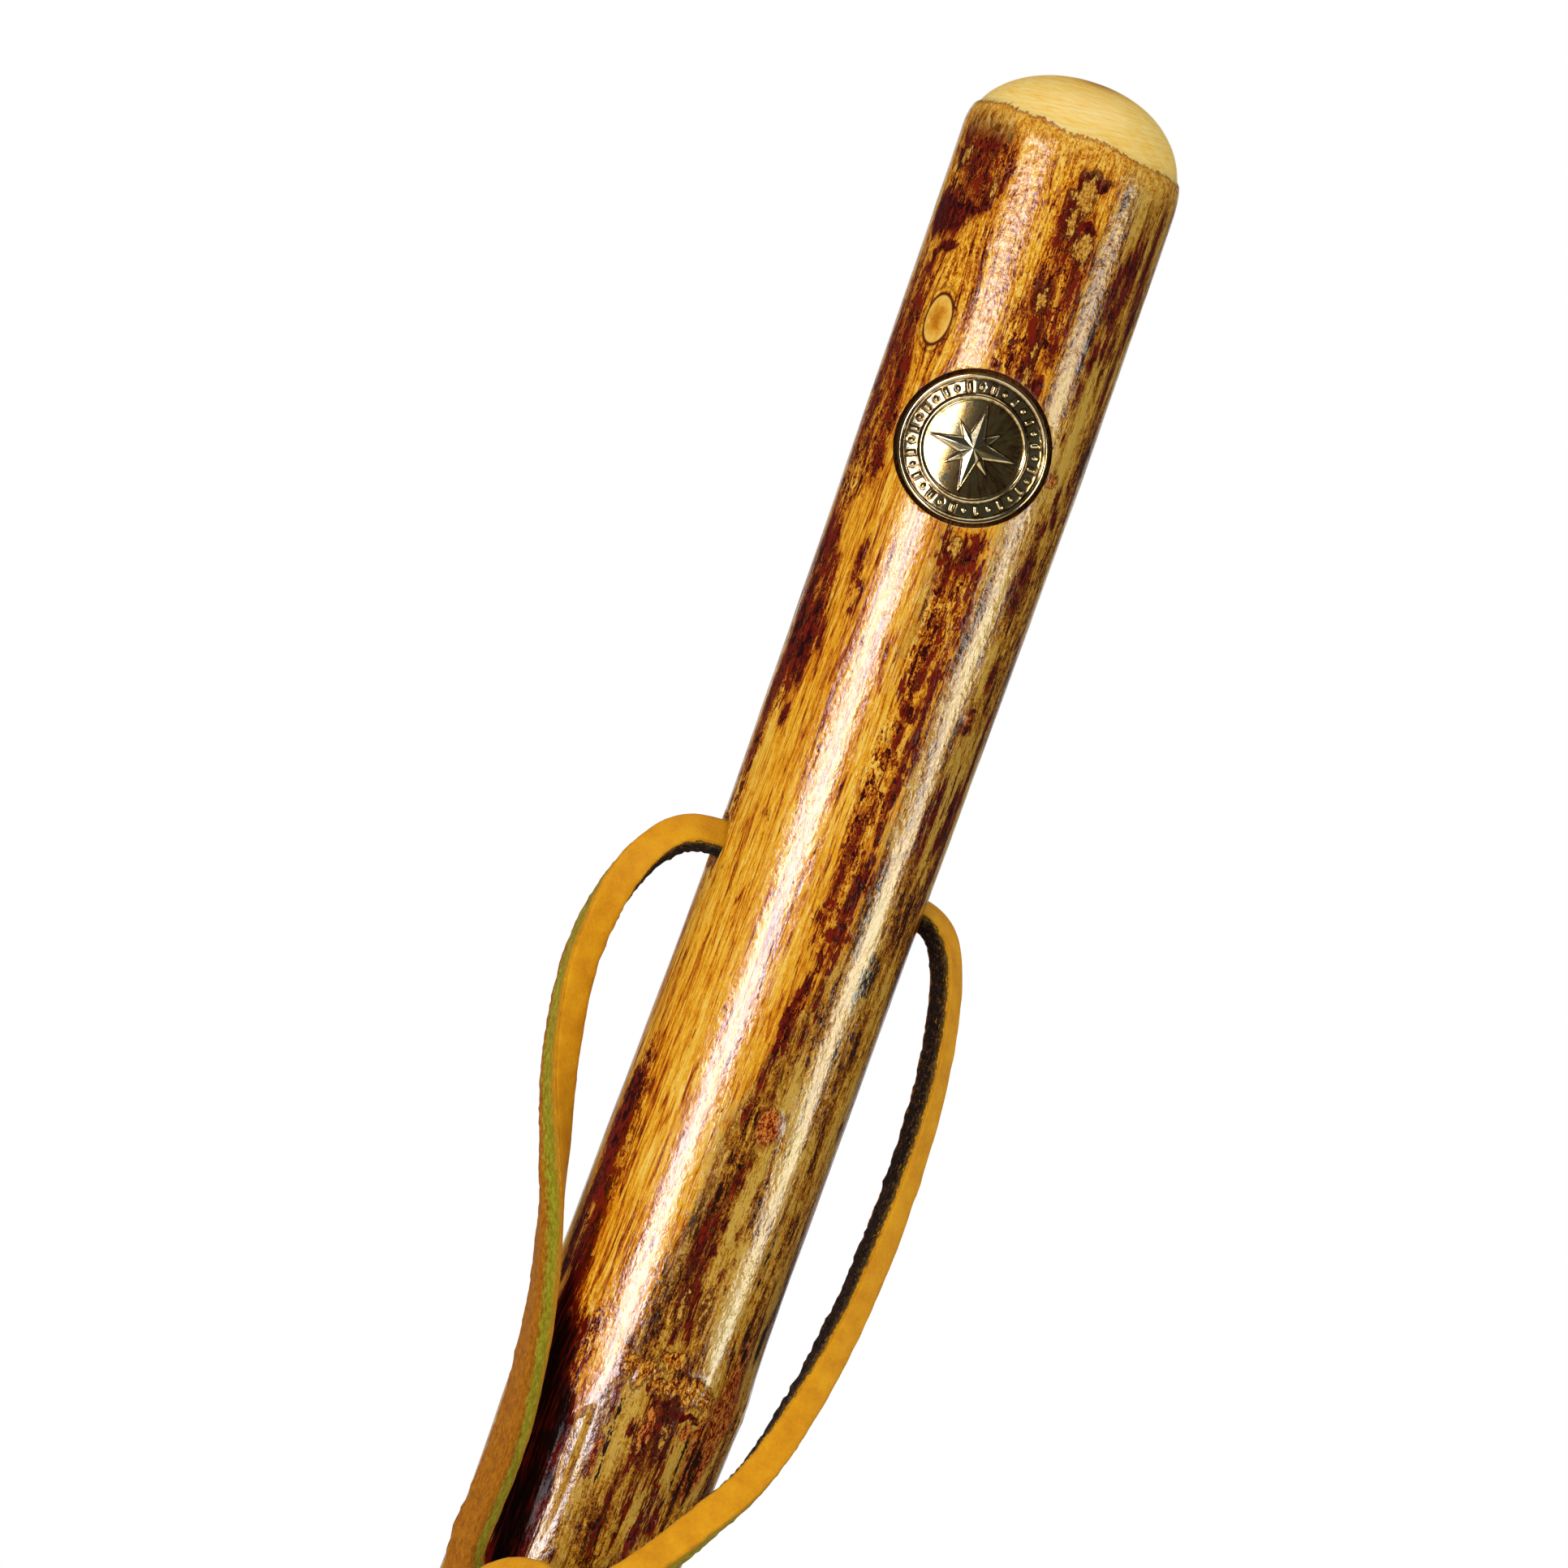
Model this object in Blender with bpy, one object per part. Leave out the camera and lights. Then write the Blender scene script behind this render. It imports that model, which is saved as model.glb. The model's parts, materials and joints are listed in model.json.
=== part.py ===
"""A rustic hardwood walking staff with a brass medallion, a leather wrist lanyard and a rubber ferrule.

The staff stands upright: +Z runs up the shaft, the medallion faces -Y, and the origin is the centre of the
ferrule's ground face. Lengths are in metres.
"""

import math

import bmesh
import bpy
import numpy as np
from mathutils import Matrix, Vector

MM = 0.001

# Whole staff
STAFF_LENGTH = 1219.2 * MM
TOUCH_GAP = 0.3 * MM

# Shaft: a sapling that is thick at the grip and a little thinner at the tip
GRIP_RADIUS = 15.0 * MM
TIP_RADIUS = 13.0 * MM
SHAFT_SIDES = 36
DOME_HEIGHT = 10.5 * MM
DOME_RINGS = 7
WAIST_DEPTH = 0.35 * MM
WAIST_FROM_TOP = 112.0 * MM
WAIST_SPREAD = 26.0 * MM
SHOULDER_CHAMFER = 1.2 * MM

# Growth nodes: places from the top where the sapling swells
NODES_FROM_TOP = [182.0 * MM, 351.0 * MM, 540.0 * MM, 716.0 * MM, 905.0 * MM, 1072.0 * MM]
NODE_SWELLING = 0.55 * MM
NODE_SPREAD = 8.0 * MM

# The shaft's gentle bends, sideways and to the back
SIDE_BEND = 5.7 * MM
SIDE_BEND_LENGTH = 746.0 * MM
BACK_BEND = 4.0 * MM
BACK_BEND_LENGTH = 1119.0 * MM

# Spacing of the shaft's rings
RING_STEP_GRIP = 9.0 * MM
RING_STEP_BELOW = 32.0 * MM
GRIP_ZONE = 220.0 * MM

# Medallion: a brass disc that is bent about the shaft, and the recess that holds it
MEDALLION_FROM_TOP = 50.9 * MM
MEDALLION_RADIUS = 9.7 * MM
MEDALLION_THICKNESS = 1.5 * MM
MEDALLION_BEND_RADIUS = 20.0 * MM
MEDALLION_INSET = 0.8 * MM
MEDALLION_RIM_GAP = 0.55 * MM
MEDALLION_RIM_WIDTH = 1.0 * MM
MEDALLION_RIM_HEIGHT = 0.3 * MM
MEDALLION_SIDES = 40
MEDALLION_RING_STEP = 2.5 * MM
RECESS_CUTTER_REACH = 3.6 * MM
ADHESIVE_THICKNESS = 0.5 * MM
ADHESIVE_RADIUS = 8.8 * MM

# Cross hole for the lanyard, turned a little so that its left mouth looks forwards
HOLE_FROM_TOP = 109.3 * MM
HOLE_RADIUS = 3.8 * MM
HOLE_TURN = math.radians(10.0)
HOLE_SIDES = 24

# Tenon, washer and ferrule at the tip
TENON_RADIUS = 11.0 * MM
SOCKET_CLEARANCE = 0.3 * MM
FERRULE_HEIGHT = 38.0 * MM
FERRULE_FLOOR = 8.0 * MM
FERRULE_RIM_WALL = 2.0 * MM
FERRULE_WAIST_WALL = 2.9 * MM
FOOT_RADIUS = 17.5 * MM
FOOT_HEIGHT = 7.0 * MM
FOOT_FLARE = 6.0 * MM
FOOT_EDGE = 1.0 * MM
RIM_BEAD_HEIGHT = 3.0 * MM
RIM_BEAD_DEPTH = 0.6 * MM
TREAD_DEPTH = 1.2 * MM
TREAD_WIDTH = 1.6 * MM
TREAD_RADII = [6.5 * MM, 11.5 * MM]
FERRULE_SIDES = 36
WASHER_RADIUS = 10.4 * MM
WASHER_BORE = 4.0 * MM
WASHER_THICKNESS = 1.5 * MM

# Leather lace, as a round tube with about the section of the square-cut lace
LACE_RADIUS = 2.2 * MM
LACE_STEP = 5.0 * MM
LACE_RESOLUTION = 2
CURVE_SPOTS_PER_SPAN = 24

# The lace's route in millimetres from the centre of the cross hole: right, back, up.
# It leads from the knot up the left strand, through the hole and down the right strand into the knot.
LOOP_ROUTE = [
    (-5.0, -23.3, -103.5),
    (-9.9, -21.6, -98.8),
    (-12.9, -19.4, -93.8),
    (-13.2, -17.9, -89.5),
    (-12.8, -15.9, -83.0),
    (-13.2, -14.2, -75.0),
    (-14.8, -12.2, -64.5),
    (-17.2, -10.0, -54.6),
    (-20.0, -8.0, -45.4),
    (-23.3, -6.2, -34.4),
    (-25.3, -4.9, -23.0),
    (-25.2, -4.2, -15.0),
    (-23.6, -3.8, -8.0),
    (-20.6, -3.4, -2.6),
    (-17.4, -3.0, -0.3),
    (-13.5, -2.4, 0.3),
    (-7.0, -1.2, 0.2),
    (0.0, 0.0, 0.0),
    (7.0, 1.2, -0.1),
    (13.2, 2.3, -0.2),
    (16.6, 2.6, -1.3),
    (19.2, 2.4, -4.6),
    (21.3, 1.8, -11.0),
    (22.9, 0.6, -20.0),
    (23.6, -1.2, -30.0),
    (23.7, -3.6, -41.0),
    (23.2, -6.4, -52.0),
    (21.9, -9.6, -63.0),
    (19.2, -13.4, -75.0),
    (15.0, -17.2, -83.0),
    (9.8, -20.6, -91.0),
    (3.4, -22.6, -97.0),
    (-5.0, -23.3, -103.5),
]
LEFT_TAIL_ROUTE = [
    (-5.0, -23.3, -103.5),
    (-8.0, -22.4, -117.0),
    (-10.0, -20.6, -128.0),
    (-11.6, -19.0, -140.0),
    (-12.4, -18.4, -151.0),
]
RIGHT_TAIL_ROUTE = [
    (-5.0, -23.3, -103.5),
    (-1.8, -22.4, -117.0),
    (0.4, -20.8, -127.0),
    (1.6, -19.3, -137.0),
    (1.4, -18.6, -146.0),
]

# The knot: a rounded lump that leans on the front of the shaft
KNOT_SIDE = -5.0 * MM
KNOT_DROP = 103.5 * MM
KNOT_HALF_WIDTH = 10.5 * MM
KNOT_HALF_DEPTH = 8.0 * MM
KNOT_HALF_HEIGHT = 12.0 * MM
KNOT_SIDES = 20
KNOT_RINGS = 12

SMOOTH_ANGLE = math.radians(35.0)
WELD_DISTANCE = 0.01 * MM
EMPTY_SIZE = 10.0 * MM


def bend_share(height, length):
    """0 at the tip, 1 half a bend further up, and 0 again at a whole one, with no slope at the tip."""
    return math.sin(math.pi * height / length) ** 2


def shaft_centre(height):
    """The middle of the shaft at a height above the ground."""
    side = SIDE_BEND * bend_share(height, SIDE_BEND_LENGTH)
    back = BACK_BEND * bend_share(height, BACK_BEND_LENGTH)
    return Vector((side, back, height))


def bump(distance, spread):
    """A smooth hump that is 1 at no distance."""
    return math.exp(-0.5 * (distance / spread) ** 2)


def shaft_radius(height):
    """The shaft's radius below its dome, with the taper, the waist at the lanyard and the growth nodes."""
    down = STAFF_LENGTH - height
    share = down / (STAFF_LENGTH - FERRULE_HEIGHT)
    radius = GRIP_RADIUS + (TIP_RADIUS - GRIP_RADIUS) * share
    radius -= WAIST_DEPTH * bump(down - WAIST_FROM_TOP, WAIST_SPREAD)
    for place in NODES_FROM_TOP:
        radius += NODE_SWELLING * bump(down - place, NODE_SPREAD)
    return radius


def material(name, colour, roughness, metallic=0.0):
    """A Principled BSDF material."""
    made = bpy.data.materials.new(name)
    made.use_nodes = True
    shader = made.node_tree.nodes["Principled BSDF"]
    shader.inputs["Base Color"].default_value = (*colour, 1.0)
    shader.inputs["Roughness"].default_value = roughness
    shader.inputs["Metallic"].default_value = metallic
    made.diffuse_color = (*colour, 1.0)
    return made


def new_object(name, data, finish):
    """A linked object with its material."""
    data.materials.append(finish)
    made = bpy.data.objects.new(name, data)
    bpy.context.scene.collection.objects.link(made)
    return made


def mesh_object(name, shape, finish, origin):
    """Turns a bmesh in world coordinates into an object whose origin is at the given point."""
    bmesh.ops.recalc_face_normals(shape, faces=shape.faces)
    bmesh.ops.translate(shape, verts=shape.verts, vec=-Vector(origin))
    data = bpy.data.meshes.new(name)
    shape.to_mesh(data)
    shape.free()
    data.shade_smooth()
    data.set_sharp_from_angle(angle=SMOOTH_ANGLE)
    made = new_object(name, data, finish)
    made.location = origin
    return made


def ring(shape, centre, radius, sides):
    """One level ring of vertices with edges round it."""
    verts = []
    for k in range(sides):
        turn = 2.0 * math.pi * k / sides
        verts.append(shape.verts.new(centre + radius * Vector((math.cos(turn), math.sin(turn), 0.0))))
    edges = [shape.edges.new((verts[k], verts[(k + 1) % sides])) for k in range(sides)]
    return verts, edges


def shaft_levels():
    """Heights of the shaft's rings between the tip's shoulder and the foot of the dome."""
    low = FERRULE_HEIGHT + TOUCH_GAP + SHOULDER_CHAMFER
    high = STAFF_LENGTH - DOME_HEIGHT
    grip_low = STAFF_LENGTH - GRIP_ZONE
    levels = [low, high]
    levels += np.linspace(grip_low, high, max(2, round((high - grip_low) / RING_STEP_GRIP)) + 1).tolist()
    levels += np.linspace(low, grip_low, max(2, round((grip_low - low) / RING_STEP_BELOW)) + 1).tolist()
    for place in NODES_FROM_TOP:
        for offset in (-2.0, -1.0, 0.0, 1.0, 2.0):
            levels.append(STAFF_LENGTH - place + offset * NODE_SPREAD)
    kept = []
    for level in sorted(levels):
        if low <= level <= high and (not kept or level - kept[-1] > NODE_SPREAD / 2.0):
            kept.append(level)
    kept[-1] = high
    return kept


def build_shaft(finish):
    """The loft of the whole shaft: tenon, shoulder, body and dome."""
    shape = bmesh.new()
    tenon_end = tenon_bottom()
    shoulder = FERRULE_HEIGHT + TOUCH_GAP
    rings = [
        (tenon_end, TENON_RADIUS - SHOULDER_CHAMFER),
        (tenon_end + SHOULDER_CHAMFER, TENON_RADIUS),
        (shoulder, TENON_RADIUS),
        (shoulder, shaft_radius(shoulder) - SHOULDER_CHAMFER),
    ]
    rings += [(level, shaft_radius(level)) for level in shaft_levels()]
    for k in range(1, DOME_RINGS):
        rise = 0.5 * math.pi * k / DOME_RINGS
        level = STAFF_LENGTH - DOME_HEIGHT * (1.0 - math.sin(rise))
        rings.append((level, shaft_radius(level) * math.cos(rise)))
    loops = []
    for level, radius in rings:
        centre = shaft_centre(level)
        if level <= shoulder:
            centre = Vector((0.0, 0.0, level))
        loops.append(ring(shape, centre, radius, SHAFT_SIDES))
    for (_, low), (_, high) in zip(loops, loops[1:]):
        bmesh.ops.bridge_loops(shape, edges=low + high)
    shape.faces.new(loops[0][0])
    crown = shape.verts.new(shaft_centre(STAFF_LENGTH))
    last = loops[-1][0]
    for k in range(SHAFT_SIDES):
        shape.faces.new((last[k], last[(k + 1) % SHAFT_SIDES], crown))
    return mesh_object("wooden_shaft", shape, finish, (0.0, 0.0, 0.0))


def tenon_bottom():
    """The height of the tenon's end, above the washer in the ferrule."""
    return FERRULE_FLOOR + TOUCH_GAP + WASHER_THICKNESS + TOUCH_GAP


def medallion_centre():
    """The middle of the medallion's face, a little below the front of the shaft."""
    height = STAFF_LENGTH - MEDALLION_FROM_TOP
    front = shaft_radius(height) - MEDALLION_INSET
    return shaft_centre(height) - Vector((0.0, front, 0.0))


def bent_disc(name, finish, radius, front, back, rim=None):
    """A round disc bent about the shaft.

    front and back are how far its faces lie behind the medallion's face, measured towards the bend's axis.
    rim, if given, is the width and height of a raised border.
    """
    shape = bmesh.new()
    middle = medallion_centre()

    def point(flat_radius, turn, depth):
        across = flat_radius * math.cos(turn)
        bend = MEDALLION_BEND_RADIUS - depth
        behind = MEDALLION_BEND_RADIUS - math.sqrt(bend**2 - across**2)
        return middle + Vector((across, behind, flat_radius * math.sin(turn)))

    outline = [(radius, back), (radius, front)]
    if rim:
        width, height = rim
        outline += [(radius - width, front), (radius - width, front + height)]
    steps = max(3, round(radius / MEDALLION_RING_STEP))
    inner_front = outline[-1]
    outline += [(inner_front[0] * (1.0 - k / steps), inner_front[1]) for k in range(1, steps)]
    front_centre = (0.0, inner_front[1])
    backside = [(radius * (1.0 - k / steps), back) for k in range(1, steps)]

    def loop(flat_radius, depth):
        turns = [2.0 * math.pi * k / MEDALLION_SIDES for k in range(MEDALLION_SIDES)]
        verts = [shape.verts.new(point(flat_radius, turn, depth)) for turn in turns]
        count = len(verts)
        edges = [shape.edges.new((verts[k], verts[(k + 1) % count])) for k in range(count)]
        return verts, edges

    loops = [loop(*spot) for spot in reversed(backside)] + [loop(*spot) for spot in outline]
    for (_, low), (_, high) in zip(loops, loops[1:]):
        bmesh.ops.bridge_loops(shape, edges=low + high)
    for verts, (flat_radius, depth) in ((loops[0][0], (0.0, back)), (loops[-1][0], front_centre)):
        pole = shape.verts.new(point(flat_radius, 0.0, depth))
        for k in range(MEDALLION_SIDES):
            shape.faces.new((verts[k], verts[(k + 1) % MEDALLION_SIDES], pole))
    return mesh_object(name, shape, finish, middle)


def make_cutter(cutter):
    """Hides a cutter from renders and shows it as wire."""
    cutter.hide_render = True
    cutter.display_type = "WIRE"


def cut(target, cutter):
    """Takes a cutter's shape out of a piece."""
    make_cutter(cutter)
    boolean = target.modifiers.new(cutter.name, "BOOLEAN")
    boolean.operation = "DIFFERENCE"
    boolean.solver = "EXACT"
    boolean.object = cutter


def recess_floor_depth():
    """How far the recess's floor lies behind the medallion's face."""
    return MEDALLION_THICKNESS + TOUCH_GAP + ADHESIVE_THICKNESS + TOUCH_GAP


def hole_centre():
    """The middle of the cross hole, on the shaft's centreline."""
    return shaft_centre(STAFF_LENGTH - HOLE_FROM_TOP)


def hole_direction():
    """Along the cross hole, from its left mouth to its right one."""
    return Vector((math.cos(HOLE_TURN), math.sin(HOLE_TURN), 0.0))


def cross_hole_cutter(finish):
    """A cylinder across the shaft."""
    shape = bmesh.new()
    bmesh.ops.create_cone(
        shape,
        cap_ends=True,
        segments=HOLE_SIDES,
        radius1=HOLE_RADIUS,
        radius2=HOLE_RADIUS,
        depth=4.0 * GRIP_RADIUS,
    )
    turn = Vector((0.0, 0.0, 1.0)).rotation_difference(hole_direction()).to_matrix()
    bmesh.ops.rotate(shape, verts=shape.verts, cent=(0.0, 0.0, 0.0), matrix=turn)
    bmesh.ops.translate(shape, verts=shape.verts, vec=hole_centre())
    return mesh_object("cross_hole_cutter", shape, finish, hole_centre())


def turned(name, finish, profile, sides, closed=False):
    """A turned piece: a profile of (radius, height) from the top down its outer side, spun about +Z."""
    shape = bmesh.new()
    verts = [shape.verts.new((radius, 0.0, height)) for radius, height in profile]
    for first, second in zip(verts, verts[1:]):
        shape.edges.new((first, second))
    if closed:
        shape.edges.new((verts[-1], verts[0]))
    data = bpy.data.meshes.new(name)
    shape.to_mesh(data)
    shape.free()
    made = new_object(name, data, finish)
    screw = made.modifiers.new("turn", "SCREW")
    screw.axis = "Z"
    screw.angle = 2.0 * math.pi
    screw.steps = sides
    screw.render_steps = sides
    screw.use_merge_vertices = True
    screw.merge_threshold = WELD_DISTANCE
    screw.use_smooth_shade = True
    return made


def tread_profile():
    """The ground face from its edge to the middle, with a round groove at each tread radius."""
    steps = []
    for radius in sorted(TREAD_RADII, reverse=True):
        outer = radius + TREAD_WIDTH / 2.0
        inner = radius - TREAD_WIDTH / 2.0
        steps += [(outer, 0.0), (outer, TREAD_DEPTH), (inner, TREAD_DEPTH), (inner, 0.0)]
    return steps


def build_ferrule(finish):
    """The rubber cup: socket, rim bead, waisted wall, flared foot and tread."""
    socket = TENON_RADIUS + SOCKET_CLEARANCE
    bead = socket + FERRULE_RIM_WALL
    waist = socket + FERRULE_WAIST_WALL
    profile = [
        (0.0, FERRULE_FLOOR),
        (socket, FERRULE_FLOOR),
        (socket, FERRULE_HEIGHT),
        (bead - RIM_BEAD_DEPTH, FERRULE_HEIGHT),
        (bead, FERRULE_HEIGHT - RIM_BEAD_DEPTH),
        (bead, FERRULE_HEIGHT - RIM_BEAD_HEIGHT),
        (bead - RIM_BEAD_DEPTH, FERRULE_HEIGHT - RIM_BEAD_HEIGHT - RIM_BEAD_DEPTH),
        (waist, FOOT_HEIGHT + FOOT_FLARE),
        (FOOT_RADIUS, FOOT_HEIGHT),
        (FOOT_RADIUS, FOOT_EDGE),
        (FOOT_RADIUS - FOOT_EDGE, 0.0),
    ]
    profile += tread_profile()
    profile.append((0.0, 0.0))
    return turned("rubber_ferrule", finish, profile, FERRULE_SIDES)


def build_washer(finish):
    """The steel washer between the tenon's end and the ferrule's floor."""
    low = FERRULE_FLOOR + TOUCH_GAP
    high = low + WASHER_THICKNESS
    profile = [(WASHER_BORE, high), (WASHER_RADIUS, high), (WASHER_RADIUS, low), (WASHER_BORE, low)]
    return turned("ferrule_washer", finish, profile, FERRULE_SIDES, closed=True)


def smooth_line(route):
    """Points a short step apart on a smooth curve through a route, given in millimetres from the hole."""
    places = np.array([hole_centre() + Vector(spot) * MM for spot in route])
    before = 2.0 * places[0] - places[1]
    after = 2.0 * places[-1] - places[-2]
    padded = np.vstack([before, places, after])
    fine = []
    shares = np.linspace(0.0, 1.0, CURVE_SPOTS_PER_SPAN, endpoint=False)
    for a, b, c, d in zip(padded, padded[1:], padded[2:], padded[3:]):
        for t in shares:
            fine.append(
                0.5 * (2.0 * b + (c - a) * t + (2.0 * a - 5.0 * b + 4.0 * c - d) * t**2
                       + (3.0 * b - a - 3.0 * c + d) * t**3)
            )
    fine.append(padded[-2])
    return np.array(fine)


def evenly(line, step):
    """The same line with points about one step apart."""
    lengths = np.linalg.norm(np.diff(line, axis=0), axis=1)
    along = np.concatenate([[0.0], np.cumsum(lengths)])
    count = max(3, math.ceil(along[-1] / step) + 1)
    places = np.linspace(0.0, along[-1], count)
    return np.stack([np.interp(places, along, line[:, k]) for k in range(3)], axis=1)


def knot_centre():
    """The middle of the knot, set so that the knot leans on the front of the shaft."""
    drop = hole_centre().z - KNOT_DROP
    front = shaft_radius(drop) + TOUCH_GAP + KNOT_HALF_DEPTH
    return Vector((hole_centre().x + KNOT_SIDE, shaft_centre(drop).y - front, drop))


def knot_size():
    """The knot's half sizes across, front to back, and up."""
    return Vector((KNOT_HALF_WIDTH, KNOT_HALF_DEPTH, KNOT_HALF_HEIGHT))


def outside_knot(point):
    """About how far a point lies outside the knot's surface. It is below 0 inside."""
    away = Vector(point) - knot_centre()
    size = knot_size()
    share = Vector(a / b for a, b in zip(away, size)).length
    slope = Vector(a / b**2 for a, b in zip(away, size)).length / share
    return (share - 1.0) / slope


def clear_of_knot(line):
    """The stretch of a line where the lace's whole section is clear of the knot by the touch gap."""
    tangents = np.gradient(line, axis=0)
    clear = []
    for place, tangent in zip(line, tangents):
        along = Vector(tangent).normalized()
        across = along.orthogonal().normalized()
        edge = [
            Vector(place) + LACE_RADIUS * (Matrix.Rotation(math.radians(turn), 3, along) @ across)
            for turn in range(0, 360, 30)
        ]
        clear.append(min(outside_knot(spot) for spot in edge) >= TOUCH_GAP)
    kept = np.flatnonzero(clear)
    return line[kept[0] : kept[-1] + 1]


def lace(name, finish, route, origin):
    """A stretch of the lace: a bevelled curve along a route, ending clear of the knot."""
    line = evenly(clear_of_knot(smooth_line(route)), LACE_STEP)
    data = bpy.data.curves.new(name, "CURVE")
    data.dimensions = "3D"
    data.bevel_depth = LACE_RADIUS
    data.bevel_resolution = LACE_RESOLUTION
    data.use_fill_caps = True
    data.resolution_u = 1
    data.render_resolution_u = 0
    spline = data.splines.new("POLY")
    spline.points.add(len(line) - 1)
    for spot, place in zip(spline.points, line):
        spot.co = (*(Vector(place) - Vector(origin)), 1.0)
    spline.use_smooth = True
    made = new_object(name, data, finish)
    made.location = origin
    return made


def build_knot(finish, origin):
    """The knot's plain solid."""
    shape = bmesh.new()
    bmesh.ops.create_uvsphere(shape, u_segments=KNOT_SIDES, v_segments=KNOT_RINGS, radius=1.0)
    bmesh.ops.scale(shape, verts=shape.verts, vec=knot_size())
    bmesh.ops.translate(shape, verts=shape.verts, vec=knot_centre())
    return mesh_object("lanyard_knot", shape, finish, origin)


def hang_from(parent, children):
    """Parents pieces to an empty and leaves them where they are."""
    bpy.context.view_layer.update()
    for child in children:
        world = child.matrix_world.copy()
        child.parent = parent
        child.matrix_world = world


def empty_at(name, place):
    """An empty that marks a joint."""
    made = bpy.data.objects.new(name, None)
    made.location = place
    made.empty_display_size = EMPTY_SIZE
    bpy.context.scene.collection.objects.link(made)
    return made


def main():
    for old in list(bpy.data.objects):
        bpy.data.objects.remove(old, do_unlink=True)

    wood = material("varnished_wood", (0.42, 0.19, 0.05), 0.22)
    brass = material("antique_brass", (0.55, 0.42, 0.16), 0.35, 1.0)
    glue = material("adhesive", (0.85, 0.82, 0.74), 0.6)
    leather = material("golden_leather", (0.70, 0.33, 0.03), 0.6)
    rubber = material("black_rubber", (0.02, 0.02, 0.02), 0.75)
    steel = material("zinc_steel", (0.62, 0.63, 0.65), 0.35, 1.0)

    shaft = build_shaft(wood)
    recess = bent_disc(
        "recess_cutter",
        wood,
        MEDALLION_RADIUS + MEDALLION_RIM_GAP,
        -RECESS_CUTTER_REACH,
        recess_floor_depth(),
    )
    cut(shaft, recess)
    cut(shaft, cross_hole_cutter(wood))

    bent_disc(
        "medallion",
        brass,
        MEDALLION_RADIUS,
        0.0,
        MEDALLION_THICKNESS,
        rim=(MEDALLION_RIM_WIDTH, MEDALLION_RIM_HEIGHT),
    )
    glue_front = MEDALLION_THICKNESS + TOUCH_GAP
    bent_disc("medallion_adhesive", glue, ADHESIVE_RADIUS, glue_front, glue_front + ADHESIVE_THICKNESS)

    ferrule = build_ferrule(rubber)
    washer = build_washer(steel)
    hang_from(empty_at("ferrule_slide", (0.0, 0.0, FERRULE_HEIGHT)), [ferrule, washer])

    pivot = hole_centre()
    strands = [
        lace("lanyard_loop", leather, LOOP_ROUTE, pivot),
        lace("lanyard_tail_left", leather, LEFT_TAIL_ROUTE, pivot),
        lace("lanyard_tail_right", leather, RIGHT_TAIL_ROUTE, pivot),
        build_knot(leather, pivot),
    ]
    hang_from(empty_at("lanyard_swing", pivot), strands)


main()
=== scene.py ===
import itertools
import json
import math

import bmesh
import bpy
import numpy as np
from mathutils import Matrix, Vector


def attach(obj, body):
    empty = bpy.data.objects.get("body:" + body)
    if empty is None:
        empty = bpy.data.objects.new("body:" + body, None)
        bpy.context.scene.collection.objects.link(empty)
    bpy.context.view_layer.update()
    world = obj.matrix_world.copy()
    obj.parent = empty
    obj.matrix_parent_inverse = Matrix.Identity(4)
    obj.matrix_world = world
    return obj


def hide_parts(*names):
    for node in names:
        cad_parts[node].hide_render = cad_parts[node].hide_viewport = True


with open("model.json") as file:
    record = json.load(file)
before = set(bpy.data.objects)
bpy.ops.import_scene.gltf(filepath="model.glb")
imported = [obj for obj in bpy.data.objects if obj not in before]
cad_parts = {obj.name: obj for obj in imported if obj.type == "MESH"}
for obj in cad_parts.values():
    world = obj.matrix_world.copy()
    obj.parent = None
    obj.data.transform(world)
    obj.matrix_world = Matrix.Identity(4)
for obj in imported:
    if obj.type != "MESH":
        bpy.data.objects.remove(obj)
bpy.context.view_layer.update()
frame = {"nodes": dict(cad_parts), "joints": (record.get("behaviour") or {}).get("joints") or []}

# Units: shapes are worked out in millimetres and turned into metres at the end
MM = 0.001

# Sizes that repeat the CAD source, in millimetres
STAFF_LENGTH = 1219.2
TOUCH_GAP = 0.3
GRIP_RADIUS = 15.0
TIP_RADIUS = 13.0
DOME_HEIGHT = 10.5
WAIST_DEPTH = 0.35
WAIST_FROM_TOP = 112.0
WAIST_SPREAD = 26.0
SHOULDER_CHAMFER = 1.2
NODES_FROM_TOP = [182.0, 351.0, 540.0, 716.0, 905.0, 1072.0]
NODE_SWELLING = 0.55
NODE_SPREAD = 8.0
SIDE_BEND = 5.7
SIDE_BEND_LENGTH = 746.0
BACK_BEND = 4.0
BACK_BEND_LENGTH = 1119.0
MEDALLION_FROM_TOP = 50.9
MEDALLION_RADIUS = 9.7
MEDALLION_THICKNESS = 1.5
MEDALLION_BEND_RADIUS = 20.0
MEDALLION_INSET = 0.8
MEDALLION_RIM_GAP = 0.55
RECESS_FLOOR = 2.6
RECESS_CUTTER_REACH = 3.6
RECESS_FLARE = 0.25
HOLE_FROM_TOP = 109.3
HOLE_RADIUS = 3.8
HOLE_TURN = math.radians(10.0)
HOLE_MOUTH = [(-30.0, 5.6), (-15.4, 4.3), (-14.2, 3.95), (-13.0, HOLE_RADIUS)]
TENON_RADIUS = 11.0
TENON_END = 10.1
FERRULE_HEIGHT = 38.0
FERRULE_FLOOR = 8.0
SOCKET_RADIUS = 11.3
FOOT_RADIUS = 17.5

# Camera: where it stands, how far it is rolled and how much it sees
CAMERA_SPOT = (-0.0027, -0.85, 1.1196)
CAMERA_ROLL = math.radians(19.9)
CAMERA_LENS = 149.8
CAMERA_SENSOR = 36.0

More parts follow.
